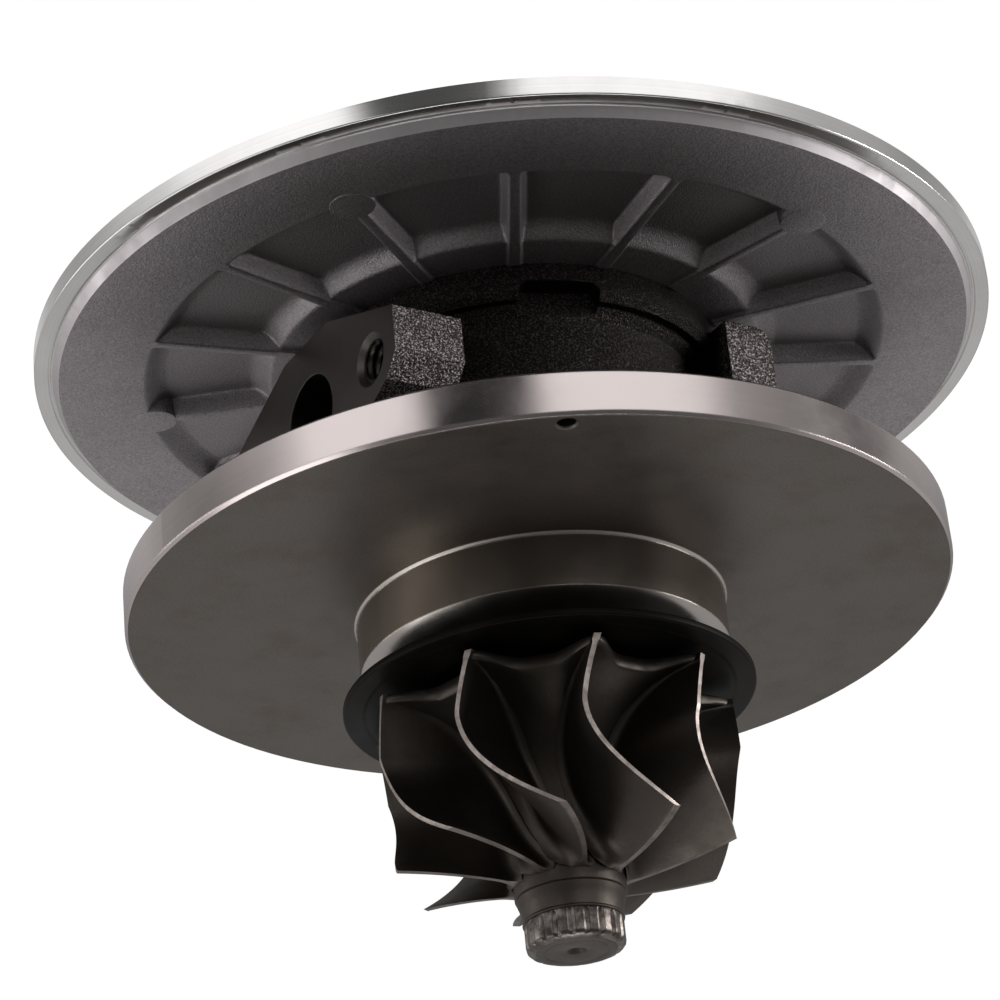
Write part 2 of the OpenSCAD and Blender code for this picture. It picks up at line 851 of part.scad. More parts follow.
bearing_housing();
heat_shield();
turbine_wheel();
rotor_shaft();
turbine_seal_ring();
turbine_bush();
compressor_bush();
turbine_outer_circlip();
turbine_inner_circlip();
compressor_circlip();
thrust_washer();
thrust_bearing();
thrust_dowels();
thrust_collar();
compressor_seal_ring();
backplate();
joint_seal_ring();
cover_seal_ring();
backplate_screws();
compressor_wheel();
shaft_nut();
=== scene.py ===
"""Looks of a turbocharger's centre cartridge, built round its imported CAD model.

The CAD frame is in metres, with the shaft along Z, the turbine end up and the oil drain at +X.
Sizes below are in millimetres, as on a drawing, and become metres where a mesh is made.
"""

import logging
from dataclasses import dataclass, field
from enum import Enum

import bmesh
import bpy
import numpy as np
from mathutils import Matrix, Vector


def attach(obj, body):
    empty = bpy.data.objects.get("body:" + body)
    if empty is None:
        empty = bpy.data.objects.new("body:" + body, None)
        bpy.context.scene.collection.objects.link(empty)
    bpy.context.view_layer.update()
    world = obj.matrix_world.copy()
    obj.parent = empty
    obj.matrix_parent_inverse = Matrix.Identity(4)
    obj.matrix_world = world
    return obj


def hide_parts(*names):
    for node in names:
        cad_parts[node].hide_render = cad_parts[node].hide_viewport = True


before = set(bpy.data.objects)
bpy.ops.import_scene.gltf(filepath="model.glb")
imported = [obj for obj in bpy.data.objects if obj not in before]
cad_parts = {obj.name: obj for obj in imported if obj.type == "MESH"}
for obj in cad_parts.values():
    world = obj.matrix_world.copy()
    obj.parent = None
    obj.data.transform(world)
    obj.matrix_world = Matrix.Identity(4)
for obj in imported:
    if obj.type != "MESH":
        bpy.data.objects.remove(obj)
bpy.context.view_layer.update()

MM = 0.001
# points closer than this many millimetres are one
MERGE = 0.002
# most of a noise's values lie between these
NOISE_LOW, NOISE_HIGH = 0.3, 0.7
LOG = logging.getLogger("cartridge")

Tree = bpy.types.NodeTree
Socket = bpy.types.NodeSocket
Material = bpy.types.Material
Piece = bpy.types.Object
Array = np.ndarray
Point = tuple[float, float, float]
Pair = tuple[float, float]


class Body(Enum):
    """CAD bodies that a piece can ride on."""

    HOUSING = "housing"
    ROTOR = "rotor"


class Slot(Enum):
    """Material slots of the record, passed to place with each new piece."""

    IRON = "cast_iron"
    SHIELD = "shield_steel"
    NICKEL = "nickel_alloy"
    GROUND = "ground_steel"
    PLATE = "cast_aluminium"
    WHEEL = "wheel_aluminium"


# colours and nodes


def linear(code: str) -> tuple[float, float, float, float]:
    """Turns an sRGB hex colour into linear light.

    Args:
        code: colour such as "#52504d".

    Returns:
        Red, green, blue and an alpha of one.
    """
    part = np.array([int(code[i:i + 2], 16) for i in (1, 3, 5)]) / 255
    light = np.where(part <= 0.04045, part / 12.92, ((part + 0.055) / 1.055) ** 2.4)
    return (*light.tolist(), 1.0)


def feed(tree: Tree, node: bpy.types.Node, inputs: dict) -> None:
    """Sets or links the inputs of a node.

    Args:
        tree: node tree that holds the node.
        node: the node.
        inputs: socket name or number to a value, a hex colour or an output socket to link from.
    """
    for socket, value in inputs.items():
        if isinstance(value, Socket):
            tree.links.new(value, node.inputs[socket])
        else:
            node.inputs[socket].default_value = linear(value) if isinstance(value, str) else value


def add(tree: Tree, kind: str, inputs: dict | None = None, out: str | int = 0, **settings: object) -> Socket:
    """Adds a node, sets it up and links it.

    The colours of a Mix node are its inputs 6 and 7 and its output 2.

    Args:
        tree: node tree that takes the node.
        kind: Blender's name of the node type, without ShaderNode in front.
        inputs: what its inputs take, as for feed.
        out: name or number of the output that is used.
        settings: properties of the node itself.

    Returns:
        That output.
    """
    node = tree.nodes.new("ShaderNode" + kind)
    for name, value in settings.items():
        setattr(node, name, value)
    feed(tree, node, inputs or {})
    return node.outputs[out]


def surface(name: str) -> tuple[Material, Tree, bpy.types.Node, Socket]:
    """Starts a material on Object coordinates.

    Args:
        name: what the surface is and how it was made.

    Returns:
        The material, its tree, its shader and the point's coordinates.
    """
    material = bpy.data.materials.new(name)
    material.use_nodes = True
    tree = material.node_tree
    return material, tree, tree.nodes["Principled BSDF"], add(tree, "TexCoord", out="Object")


def off_axis(tree: Tree, point: Socket) -> Socket:
    """Distance of a point from Z: the length of its x and y."""
    flat = add(tree, "VectorMath", {0: point, 1: (1, 1, 0)}, operation="MULTIPLY")
    return add(tree, "VectorMath", {0: flat}, "Value", operation="LENGTH")


def lathe_rings(tree: Tree, point: Socket, spacing: float) -> Socket:
    """Rings that a tool leaves round Z: noise along radius + lean times height, so walls show them too.

    Args:
        tree: node tree that takes the nodes.
        point: the point's coordinates.
        spacing: distance between rings in millimetres.

    Returns:
        The noise.
    """
    lean = 0.83
    height = add(tree, "SeparateXYZ", {0: point}, "Z")
    along = add(tree, "Math", {0: height, 1: lean, 2: off_axis(tree, point)}, operation="MULTIPLY_ADD")
    return add(tree, "TexNoise", {
        "W": along, "Scale": 1 / (spacing * MM), "Detail": 2.0}, noise_dimensions="1D")


# meshes


@dataclass
class Skin:
    """Grids of points that together make one mesh, in millimetres."""

    points: list[Array] = field(default_factory=list)
    faces: list[Array] = field(default_factory=list)
    marks: list[Array] = field(default_factory=list)
    count: int = 0

    def grid(self, xyz: Array, mark: int | Array = 0, ring: bool = False,
             loop: bool = False, flip: bool = False) -> None:
        """Adds a grid of four-sided faces.

        Args:
            xyz: points as rows, columns, 3.
            mark: material number, one for all or one for each row of faces.
            ring: joins the last column to the first.
            loop: joins the last row to the first.
            flip: turns the faces round.
        """
        rows, cols = xyz.shape[:2]
        number = np.arange(rows * cols).reshape(rows, cols) + self.count
        if ring:
            number = np.concatenate([number, number[:, :1]], axis=1)
        if loop:
            number = np.concatenate([number, number[:1]], axis=0)
        quad = np.stack([number[:-1, :-1], number[:-1, 1:], number[1:, 1:], number[1:, :-1]], axis=-1)
        tall, wide = quad.shape[:2]
        mark_rows = np.broadcast_to(np.asarray(mark).reshape(-1, 1), (tall, wide))
        quad = quad.reshape(-1, 4)
        self.points.append(xyz.reshape(-1, 3))
        self.faces.append(quad[:, ::-1] if flip else quad)
        self.marks.append(mark_rows.reshape(-1))
        self.count += rows * cols

    def make(self, name: str, materials: list[Material], crease: float = 35.0) -> Piece:
        """Turns the grids into an object, with seams and poles merged.

        Args:
            name: name of the object.
            materials: its materials by mark.
            crease: angle in degrees past which an edge stays sharp.

        Returns:
            The object, at the origin.
        """
        mesh = bpy.data.meshes.new(name)
        mesh.from_pydata(np.concatenate(self.points) * MM, [], np.concatenate(self.faces))
        mesh.polygons.foreach_set("material_index", np.concatenate(self.marks).astype(np.int32))
        form = bmesh.new()
        form.from_mesh(mesh)
        bmesh.ops.remove_doubles(form, verts=form.verts, dist=MERGE * MM)
        bmesh.ops.recalc_face_normals(form, faces=form.faces)
        form.to_mesh(mesh)
        form.free()
        mesh.polygons.foreach_set("use_smooth", np.ones(len(mesh.polygons), dtype=bool))
        mesh.set_sharp_from_angle(angle=np.radians(crease))
        piece = bpy.data.objects.new(name, mesh)
        bpy.context.scene.collection.objects.link(piece)
        for material in materials:
            mesh.materials.append(material)
        even = piece.modifiers.new("even_normals", "WEIGHTED_NORMAL")
        even.keep_sharp = True
        return piece


def polar(r: Array | float, angle: Array, z: Array | float,
          aside: Array | float = 0.0) -> Array:
    """Points at r cos, r sin, z, moved aside at right angles to the radius.

    Args:
        r: radius.
        angle: angle in radians.
        z: height.
        aside: how far the point is moved.

    Returns:
        Points as rows, columns, 3.
    """
    x = r * np.cos(angle) - aside * np.sin(angle)
    y = r * np.sin(angle) + aside * np.cos(angle)
    return np.stack(np.broadcast_arrays(x, y, z), axis=-1)


def turned(profile: Array, angles: Array) -> Array:
    """Carries a profile, rows of [r, z], round Z to the angles."""
    return polar(profile[:, :1], angles, profile[:, 1:])


def full_turn(count: int) -> Array:
    """Angles of a whole turn, without the repeated end."""
    return np.linspace(0, 2 * np.pi, count, endpoint=False)


def soft_step(x: Array, width: float) -> Array:
    """Softened max(x, 0): width times log(1 + e^(x / width))."""
    return width * np.logaddexp(0, x / width)


def soft_max(a: Array, b: Array, blend: float) -> Array:
    """Larger of two heights, with a fillet of about that blend where they meet."""
    near = np.maximum(blend - np.abs(a - b), 0)
    return np.maximum(a, b) + near * near / (4 * blend)


def rounded(corners: list[Point], cuts: int = 4) -> Array:
    """Rounds the corners of a profile: each becomes a quadratic curve between points on its two sides.

    Args:
        corners: [r, z, how far the rounding reaches along each side].
        cuts: steps in each rounding.

    Returns:
        Rows of [r, z].
    """
    knots = np.array(corners)
    here = knots[:, :2]
    back = np.roll(here, 1, axis=0) - here
    ahead = np.roll(here, -1, axis=0) - here
    back[0] = 0
    ahead[-1] = 0
    reach = knots[:, 2:]
    start = here + back / np.maximum(np.linalg.norm(back, axis=1, keepdims=True), 1e-9) * reach
    end = here + ahead / np.maximum(np.linalg.norm(ahead, axis=1, keepdims=True), 1e-9) * reach
    t = np.linspace(0, 1, cuts + 1)[None, :, None]
    curve = start[:, None] * (1 - t) ** 2 + 2 * here[:, None] * t * (1 - t) + end[:, None] * t ** 2
    flat = curve.reshape(-1, 2)
    apart = np.linalg.norm(np.diff(flat, axis=0, prepend=flat[:1] - 1), axis=1) > 1e-4
    return flat[apart]


# finishes


@dataclass(frozen=True)
class MetalFinish:
    """A metal surface: tone with stains, grain from the mould or blasting, and lathe lines round Z.

    Sizes are in millimetres; a grit too fine for the render is drawn as coarse as it needs to show.
    """

    name: str
    tone: str
    stain: str
    rough: float
    stain_mm: float = 9.0
    stain_share: float = 0.5
    rough_swing: float = 0.08
    stain_range: Pair = (0.38, 0.68)
    metallic: float = 1.0
    grain_mm: float = 0.3
    grain_depth: float = 0.0
    line_mm: float = 0.35
    line_depth: float = 0.0
    line_tone: float = 0.0
    grit_tone: float = 0.0
    edge_mm: float = 0.0

    def material(self) -> Material:
        """Builds the finish: stains mix two tones, grain and lathe lines raise a bump and vary the gloss."""
        material, tree, shader, point = surface(self.name)
        blotch, grain = (
            add(tree, "TexNoise", {
                "Vector": point, "Scale": 1 / (size * MM), "Detail": detail, "Roughness": rough})
            for size, detail, rough in ((self.stain_mm, 5.0, 0.6), (self.grain_mm, 3.0, 0.55)))
        rings = lathe_rings(tree, point, self.line_mm)
        low, high = self.stain_range
        share = add(tree, "MapRange", {
            "Value": blotch, "From Min": low, "From Max": high, "To Max": self.stain_share},
            interpolation_type="SMOOTHSTEP")
        tone = add(tree, "Mix", {0: share, 6: self.tone, 7: self.stain}, 2, data_type="RGBA")
        for noise, swing in ((rings, self.line_tone), (grain, self.grit_tone)):
            if swing:
                streak = add(tree, "MapRange", {
                    "Value": noise, "From Min": NOISE_LOW, "From Max": NOISE_HIGH,
                    "To Min": 1 - swing, "To Max": 1 + swing})
                tone = add(tree, "VectorMath", {0: tone, "Scale": streak}, operation="SCALE")
        gloss = add(tree, "MapRange", {
            "Value": blotch, "From Min": NOISE_LOW, "From Max": NOISE_HIGH,
            "To Min": self.rough - self.rough_swing, "To Max": self.rough + self.rough_swing})
        normal = {}
        if self.edge_mm:
            normal = {"Normal": add(tree, "Bevel", {"Radius": self.edge_mm * MM}, samples=4)}
        for noise, depth in ((grain, self.grain_depth), (rings, self.line_depth)):
            if depth:
                bump = {"Height": noise, "Distance": depth * MM, "Strength": 1.0, **normal}
                normal = {"Normal": add(tree, "Bump", bump)}
        feed(tree, shader, {"Base Color": tone, "Metallic": self.metallic, "Roughness": gloss, **normal})
        return material


@dataclass(frozen=True)
class HousingFinish:
    """Grey iron: black sand-cast skin, with turned flange and collar and milled pad faces.

    The sand skin's glints are painted as light points in its colour, and the blocks outside the seat ring are
    painted lighter, as painted light; the turned faces are satin, browned in patches by heat.
    Lengths in millimetres say where the casting is cut, and the slacks how far a mask reaches past it.
    """

    name: str = "grey_iron_cast_turned_painted_glints"
    skin: str = "#262222"
    # painted glints: light points mixed into the skin's colour, on top of the sand bump
    skin_painted_glints: str = "#6b6361"
    # the cast skin painted lighter on the blocks outside the seat ring, as painted light on their sides
    painted_lit_block: str = "#4d4546"
    # painted glints on the blocks: near-white points mixed into their colour
    block_painted_glints: str = "#fff6f4"
    face: str = "#6f6963"
    face_brown: str = "#685f57"
    wall: str = "#dacfcd"
    bead: str = "#d9cfc8"
    milled: str = "#605c58"
    collar: str = "#bdb3a9"
    bevel: str = "#c6bfba"
    skin_rough: float = 0.3
    cut_rough: Pair = (0.34, 0.48)
    fine_gloss: float = 0.2
    grit_swing: float = 0.22
    brown_share: float = 0.75
    brown_range: Pair = (0.46, 0.7)
    painted_glint_range: Pair = (0.46, 0.72)
    sand_mm: float = 0.21
    sand_depth: float = 0.22
    blotch_mm: float = 11.0
    line_mm: float = 0.5
    line_depth: float = 0.006
    edge_mm: float = 0.22
    collar_r: float = 21.1
    collar_fillet: float = 0.35
    collar_h: float = 6.5
    collar_slack: float = 0.2
    flange_t: float = 5.3
    flange_r: float = 47.3
    flange_bevel: float = 0.36
    ring_r: float = 24.3
    ring_blend: float = 1.5
    pad_x: float = 28.0
    inlet_x: float = 21.8
    drain_r: float = 5.3
    bolt_y: float = 14.4
    bolt_z: float = -20.1
    sink_r: float = 3.2
    sink_d: float = 1.0
    back_slack: float = 0.02
    face_slack: float = 0.03
    bore_slack: float = 0.05

    def masks(self, tree: Tree, point: Socket) -> dict[str, Socket]:
        """Tells surfaces apart by the point's place: a mask is 1 on its own surface and 0 elsewhere.

        Args:
            tree: node tree that takes the nodes.
            point: the point's coordinates.

        Returns:
            Masks by name.
        """
        x, y, z = add(tree, "SeparateXYZ", {0: point}).node.outputs
        radius = off_axis(tree, point)
        higher = add(tree, "Math", {0: z, 1: self.bolt_z * MM}, operation="SUBTRACT")
        mirrored = add(tree, "Math", {0: y}, operation="ABSOLUTE")
        aside = add(tree, "Math", {0: mirrored, 1: self.bolt_y * MM}, operation="SUBTRACT")
        offsets = (add(tree, "CombineXYZ", {0: across, 1: higher}) for across in (aside, y))
        from_bolt, from_drain = (
            add(tree, "VectorMath", {0: offset}, "Value", operation="LENGTH") for offset in offsets)
        over, under, both, either = "GREATER_THAN", "LESS_THAN", "MULTIPLY", "MAXIMUM"
        limits = {
            "turned": (z, over, -(self.flange_t + self.back_slack)),
            "wall": (radius, over, self.flange_r - self.flange_bevel),
            "past_collar": (radius, over, self.collar_r - self.collar_slack),
            "collar": (z, over, self.collar_fillet * 0.75),
            "bevel": (z, over, self.collar_h + self.bore_slack),
            "pad": (x, over, self.pad_x - self.face_slack),
            "inlet": (x, under, -(self.inlet_x - self.face_slack)),
            "near_bolt": (from_bolt, under, self.sink_r),
            "past_neck": (x, over, self.pad_x - self.sink_d),
            "near_drain": (from_drain, under, self.drain_r + self.bore_slack),
            "past_body": (x, over, self.pad_x / 2)}
        on = {name: add(tree, "Math", {0: measure, 1: limit * MM}, operation=test)
              for name, (measure, test, limit) in limits.items()}
        on["fillet"] = add(tree, "Math", {
            0: z, 1: self.collar_fillet / 2 * MM, 2: self.collar_fillet * 0.28 * MM}, operation="COMPARE")
        on["back"] = add(tree, "Math", {0: 1.0, 1: on["turned"]}, operation="SUBTRACT")
        for name, first, rule, second in (
                ("bead", "fillet", both, "past_collar"), ("sink", "near_bolt", both, "past_neck"),
                ("bore", "near_drain", both, "past_body"), ("pad", "pad", either, "sink"),
                ("pad", "pad", either, "bore"), ("milled", "pad", either, "inlet"),
                ("milled", "milled", both, "back"), ("cut", "turned", either, "milled"),
                ("fine", "wall", either, "collar")):
            on[name] = add(tree, "Math", {0: on[first], 1: on[second]}, operation=rule)
        on["uncut"] = add(tree, "Math", {0: 1.0, 1: on["cut"]}, operation="SUBTRACT")
        return on

    def material(self) -> Material:
        """Builds the finish: cast skin, turned faces and milled pads lie over each other by their masks."""
        material, tree, shader, point = surface(self.name)
        on = self.masks(tree, point)
        sand, blotch = (
            add(tree, "TexNoise", {
                "Vector": point, "Scale": 1 / (size * MM), "Detail": detail, "Roughness": rough})
            for size, detail, rough in ((self.sand_mm, 2.5, 0.6), (self.blotch_mm, 6.0, 0.62)))
        rings = lathe_rings(tree, point, self.line_mm)
        ring_end = self.ring_r + self.ring_blend
        # the last mask picks the blocks outside the seat ring, which take the skin painted lighter as painted
        # light
        painted_glint_share, brown, on["painted_lit_block"] = (
            add(tree, "MapRange", {"Value": value, "From Min": low, "From Max": high, "To Max": most},
                interpolation_type="SMOOTHSTEP")
            for value, low, high, most in (
                (sand, *self.painted_glint_range, 1.0), (blotch, *self.brown_range, self.brown_share),
                (off_axis(tree, point), self.ring_r * MM, ring_end * MM, 1.0)))
        grit, worn = (
            add(tree, "MapRange", {
                "Value": value, "From Min": NOISE_LOW, "From Max": NOISE_HIGH, "To Min": low, "To Max": high})
            for value, low, high in (
                (sand, 1 - self.grit_swing, 1 + self.grit_swing), (blotch, *self.cut_rough)))
        # skin and blocks mix in their painted glints; the face mixes in its heat browning
        colour, painted_lit_block, face = (
            add(tree, "Mix", {0: share, 6: tone, 7: light}, 2, data_type="RGBA")
            for share, tone, light in (
                (painted_glint_share, self.skin, self.skin_painted_glints), (painted_glint_share, self.painted_lit_block, self.block_painted_glints),
                (brown, self.face, self.face_brown)))
        face = add(tree, "VectorMath", {0: face, "Scale": grit}, operation="SCALE")
        for name, tone in (
                ("wall", self.wall), ("collar", self.collar), ("bevel", self.bevel), ("bead", self.bead)):
            face = add(tree, "Mix", {0: on[name], 6: face, 7: tone}, 2, data_type="RGBA")
        # the blocks take their painted-lighter skin, which is painted light
        for name, tone in (("painted_lit_block", painted_lit_block), ("turned", face), ("milled", self.milled)):
            colour = add(tree, "Mix", {0: on[name], 6: colour, 7: tone}, 2, data_type="RGBA")
        smooth = add(tree, "Math", {0: on["fine"], 1: -self.fine_gloss, 2: worn}, operation="MULTIPLY_ADD")
        gloss = add(tree, "Mix", {0: on["cut"], 2: self.skin_rough, 3: smooth}, data_type="FLOAT")
        normal = add(tree, "Bevel", {"Radius": self.edge_mm * MM}, samples=4)
        for height, depth, share in (
                (sand, self.sand_depth, on["uncut"]), (rings, self.line_depth, on["turned"])):
            normal = add(tree, "Bump", {
                "Height": height, "Distance": depth * MM, "Strength": share, "Normal": normal})
        feed(tree, shader, {"Base Color": colour, "Metallic": 1.0, "Roughness": gloss, "Normal": normal})
        return material


@dataclass(frozen=True)
class RubberFinish:
    """Moulded black sealing rubber: dull, a little dusty, with a soft sheen at the edges of its form."""

    name: str = "nitrile_rubber_moulded"
    tone: str = "#1b1b1c"
    dust: str = "#2b2a29"
    rough: float = 0.55
    patch_mm: float = 4.0
    grain_depth: float = 0.02

    def material(self) -> Material:
        """Builds the finish: dust lies in patches on a fine moulded grain."""
        material, tree, shader, point = surface(self.name)
        patch = add(tree, "TexNoise", {"Vector": point, "Scale": 1 / (self.patch_mm * MM), "Detail": 4.0})
        colour = add(tree, "ValToRGB", {"Fac": patch})
        for stop, tone in zip(colour.node.color_ramp.elements, (self.tone, self.dust)):
            stop.color = linear(tone)
        bump = add(tree, "Bump", {"Height": patch, "Distance": self.grain_depth * MM})
        feed(tree, shader, {"Base Color": colour, "Roughness": self.rough, "Normal": bump})
        return material


# sand-blasted die casting of the backplate: mid grey, fine even grain
CAST_FACE = MetalFinish("aluminium_die_cast_blasted", "#aca5a8", "#a09a9d", 0.44, stain_mm=14.0,
                        metallic=0.8, grain_mm=0.22, grain_depth=0.09, grit_tone=0.3)
# the rim is turned on a lathe: bright, with fine rings
TURNED_RIM = MetalFinish("aluminium_turned", "#efedec", "#dcd8d6", 0.2, stain_mm=16.0, rough_swing=0.04,
                         line_mm=0.3, line_depth=0.006, line_tone=0.03)
# the cone below the cast face keeps part of its casting skin, so it is greyer and dull
TURNED_CONE = MetalFinish("aluminium_cast_skimmed", "#d3cdcf", "#bdb7b9", 0.52, stain_mm=5.0, rough_swing=0.1,
                          line_mm=0.3, line_depth=0.008, line_tone=0.05)
# nickel alloy investment casting: near black and brown from heat, satin
WHEEL_CAST = MetalFinish("nickel_alloy_investment_cast", "#5a534d", "#443d38", 0.46, stain_mm=6.0,
                         metallic=0.8, grain_mm=0.4, grain_depth=0.02)
# outflow edges of the blades are cast; their lighter strip is a painted highlight along the edge
WHEEL_EDGE_HIGHLIGHT = MetalFinish("nickel_alloy_cast_edge_painted_highlight", "#857c76", "#5b534e", 0.36, stain_mm=2.0, stain_share=0.8,
                         grain_mm=0.4, grain_depth=0.02)
# edges of the blades are ground to size after casting, so they stay bright
WHEEL_GROUND = MetalFinish("nickel_alloy_ground", "#bdb2ac", "#8d827b", 0.44, stain_mm=1.2, stain_share=0.7,
                           line_mm=0.25, line_depth=0.004)
# the nose is skimmed and its flutes are cut for balancing: dark oxide with worn ridges
WHEEL_NOSE = MetalFinish("nickel_alloy_oxidised_cut", "#827a75", "#3b3532", 0.34, stain_mm=1.6,
                         stain_share=0.9, grain_mm=0.35, grain_depth=0.03)
# cold-rolled sheet, blackened, with straw tints from heat
SHIELD_SHEET = MetalFinish("sheet_steel_heat_blacked", "#1b1918", "#24201b", 0.5, stain_mm=12.0,
                           stain_share=0.8, line_mm=0.6, line_depth=0.004)
# journals and collar are ground: bright and almost mirror-like along the axis
GROUND_STEEL = MetalFinish("alloy_steel_ground", "#c4c4c3", "#aeacaa", 0.22, line_mm=0.2, line_depth=0.004)
# spring wire, oiled: dark grey with a soft shine
SPRING_STEEL = MetalFinish("spring_steel_oiled", "#6a6a69", "#55504a", 0.34, stain_mm=3.0)
# free-cutting brass, turned: warm yellow with fine rings
BEARING_BRASS = MetalFinish("leaded_brass_turned", "#c2a35f", "#a88545", 0.28, stain_mm=5.0,
                            line_mm=0.25, line_depth=0.005)
# black oxide on steel: blue-black, rounded by wear at the edges
SCREW_STEEL = MetalFinish("alloy_steel_black_oxide", "#46464a", "#343235", 0.36, stain_mm=2.5, edge_mm=0.12)
# cast aluminium of the compressor wheel, lightly polished: satin light grey
WHEEL_ALUMINIUM = MetalFinish("aluminium_cast_polished", "#cfd1d3", "#bcbdbf", 0.3, stain_mm=8.0,
                              grain_mm=0.4, grain_depth=0.012)
# threads cut in iron, oily: dark with a shine on the flanks
THREAD_STEEL = MetalFinish("iron_thread_cut_oily", "#4a4643", "#2e2b29", 0.3, stain_mm=1.5)


# sub-assemblies


def place(piece: Piece, body: Body, slot: Slot, *nodes: str) -> Piece:
    """Lets a piece ride on a body, hides the CAD nodes it stands for and logs its faces.

    Args:
        piece: the finished piece.
        body: body that carries it.
        slot: material slot of the record; not used.
        nodes: CAD nodes that it replaces.

    Returns:
        The piece.
    """
    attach(piece, body.value)
    if nodes:
        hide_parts(*nodes)
    LOG.info("%s: %d faces on %s", piece.name, len(piece.data.polygons), body.value)
    return piece


@dataclass
class TurbineWheel:
    """Nine-bladed radial turbine wheel with a scalloped disc and a fluted nose."""

    blades: int = 9
    turn: float = 52.5
    inflow_r: float = 20.6
    outflow_r: float = 18.9
    kink_z: float = 18.8
    outflow_z: float = 30.6
    foot_round: float = 1.3
    blade_end: float = 33.2
    peak_z: float = 19.5
    back_z: float = 12.0
    front_z: float = 13.0
    neck_r: float = 6.3
    disc_r: float = 20.3
    scallop_in: float = 15.8
    boss_r: float = 7.45
    weld_z: float = 9.4
    nose_z: float = 34.4
    flute_z: float = 37.3
    nose_end: float = 40.6
    flutes: int = 20
    tip_t: float = 0.54
    thinned: float = 0.12
    root_swell: float = 0.2
    lean_max: float = 1.6
    rise_turn: float = 30.0
    rise_h: float = 11.1
    fall_turn: float = 6.0
    fall_h: float = 7.4
    flute_d: float = 0.24

    @property
    def arc(self) -> float:
        """Radius of the hub's meridian."""
        return self.disc_r - self.neck_r

    def wrap(self, z: Array) -> Array:
        """Blade angle in degrees: a parabola above the most forward height, a gentler power below it."""
        above = -self.rise_turn * (np.maximum(z - self.peak_z, 0) / self.rise_h) ** 2
        below = -self.fall_turn * (np.maximum(self.peak_z - z, 0) / self.fall_h) ** 1.3
        return above + below

    def tip(self, z: Array) -> Array:
        """Tip radius: straight inflow edge, parabolic shroud, straight outflow edge."""
        curve = (np.clip(self.outflow_z - z, 0, None) / (self.outflow_z - self.kink_z)) ** 2
        shroud = self.outflow_r + (self.inflow_r - self.outflow_r) * np.minimum(curve, 1)
        fall = (z - self.outflow_z) / (self.blade_end - self.outflow_z)
        return shroud - (self.outflow_r - self.neck_r + 0.1) * np.maximum(fall, 0)

    def hub(self, z: Array) -> Array:
        """Hub radius: a quarter circle from the disc to the neck."""
        rise = np.clip(self.front_z + self.arc - z, 0, self.arc)
        return self.disc_r - np.sqrt(self.arc ** 2 - rise ** 2)

    def edge(self, angle: Array) -> Array:
        """Disc radius by angle in degrees: cosine scallops between arms that carry the blades."""
        pitch = 360 / self.blades
        start = self.turn + self.wrap(np.array(self.back_z))
        share = np.abs((angle - start + pitch / 2) % pitch - pitch / 2) / (pitch / 2)
        dip = (1 - np.cos(np.pi * (1 - share) ** 1.8)) / 2
        return self.scallop_in + (self.disc_r - self.scallop_in) * dip

    def hub_skin(self, skin: Skin) -> None:
        """Adds the hub: rows run from the weld over the scalloped disc and the quarter circle to the nose.

        Args:
            skin: mesh that takes it.
        """
        angles = full_turn(360)[None, :]
        edge = self.edge(np.degrees(angles))
        foot, back, crest = self.boss_r + 0.7, self.back_z, self.front_z + self.arc
        rows = [(0, self.weld_z), (self.boss_r, self.weld_z), (self.boss_r, back - 0.6),
                (self.boss_r + 0.2, back - 0.15), (foot, back)]
        rows += [(foot + (edge - 0.45 - foot) * t, back) for t in (0.5, 1.0)]
        first = np.arcsin(np.clip((self.disc_r - edge + 0.35) / self.arc, 0, 1))
        lip = crest - self.arc * np.cos(first)
        rows += [(edge - 0.15, back + 0.06), (edge, back + 0.3), (edge, lip - 0.32), (edge - 0.1, lip - 0.12)]
        for t in np.linspace(0, 1, 30):
            bend = first + (np.pi / 2 - first) * t
            rows.append((self.disc_r - self.arc * np.sin(bend), crest - self.arc * np.cos(bend)))
        top, flute, end = self.nose_z, self.flute_z, self.nose_end
        rows += list(rounded([
            (6.28, 29.0, 0), (6.26, 32.5, 0.1), (6.22, top - 0.05, 0.04), (6.0, top, 0.04),
            (6.1, top + 0.18, 0.08), (5.72, top + 1.3, 0.5), (5.52, flute - 0.25, 0.1),
            (5.66, flute - 0.1, 0.06), (5.62, flute + 0.05, 0.04), (5.46, flute + 0.1, 0.04)], 3))
        plain = len(rows) - 1
        share = np.abs((np.degrees(angles) * self.flutes / 360) % 1 - 0.5)
        groove = np.clip((share - 0.27) / 0.23, 0, 1)
        for r, z, depth in ((5.48, flute + 0.16, 0.0), (5.5, flute + 0.35, 1.0), (5.5, end - 2.0, 1.0),
                            (5.5, end - 0.75, 1.0), (5.44, end - 0.45, 0.9), (5.2, end - 0.2, 0.5),
                            (4.9, end - 0.07, 0.15), (4.5, end, 0.0)):
            rows.append((r - self.flute_d * depth * groove, z))
        fluted = len(rows) - 1
        rows += list(rounded([(3.6, end, 0.05), (3.52, end - 0.05, 0.03), (3.44, end, 0.05), (1.1, end, 0.1),
                              (0.4, end - 0.9, 0.1), (0, end - 1.0, 0)], 2))
        number = np.arange(len(rows) - 1)
        finish = np.where((number < plain) | (number >= fluted), 0, 3)
        skin.grid(np.concatenate([polar(r, angles, z) for r, z in rows]), finish, ring=True)

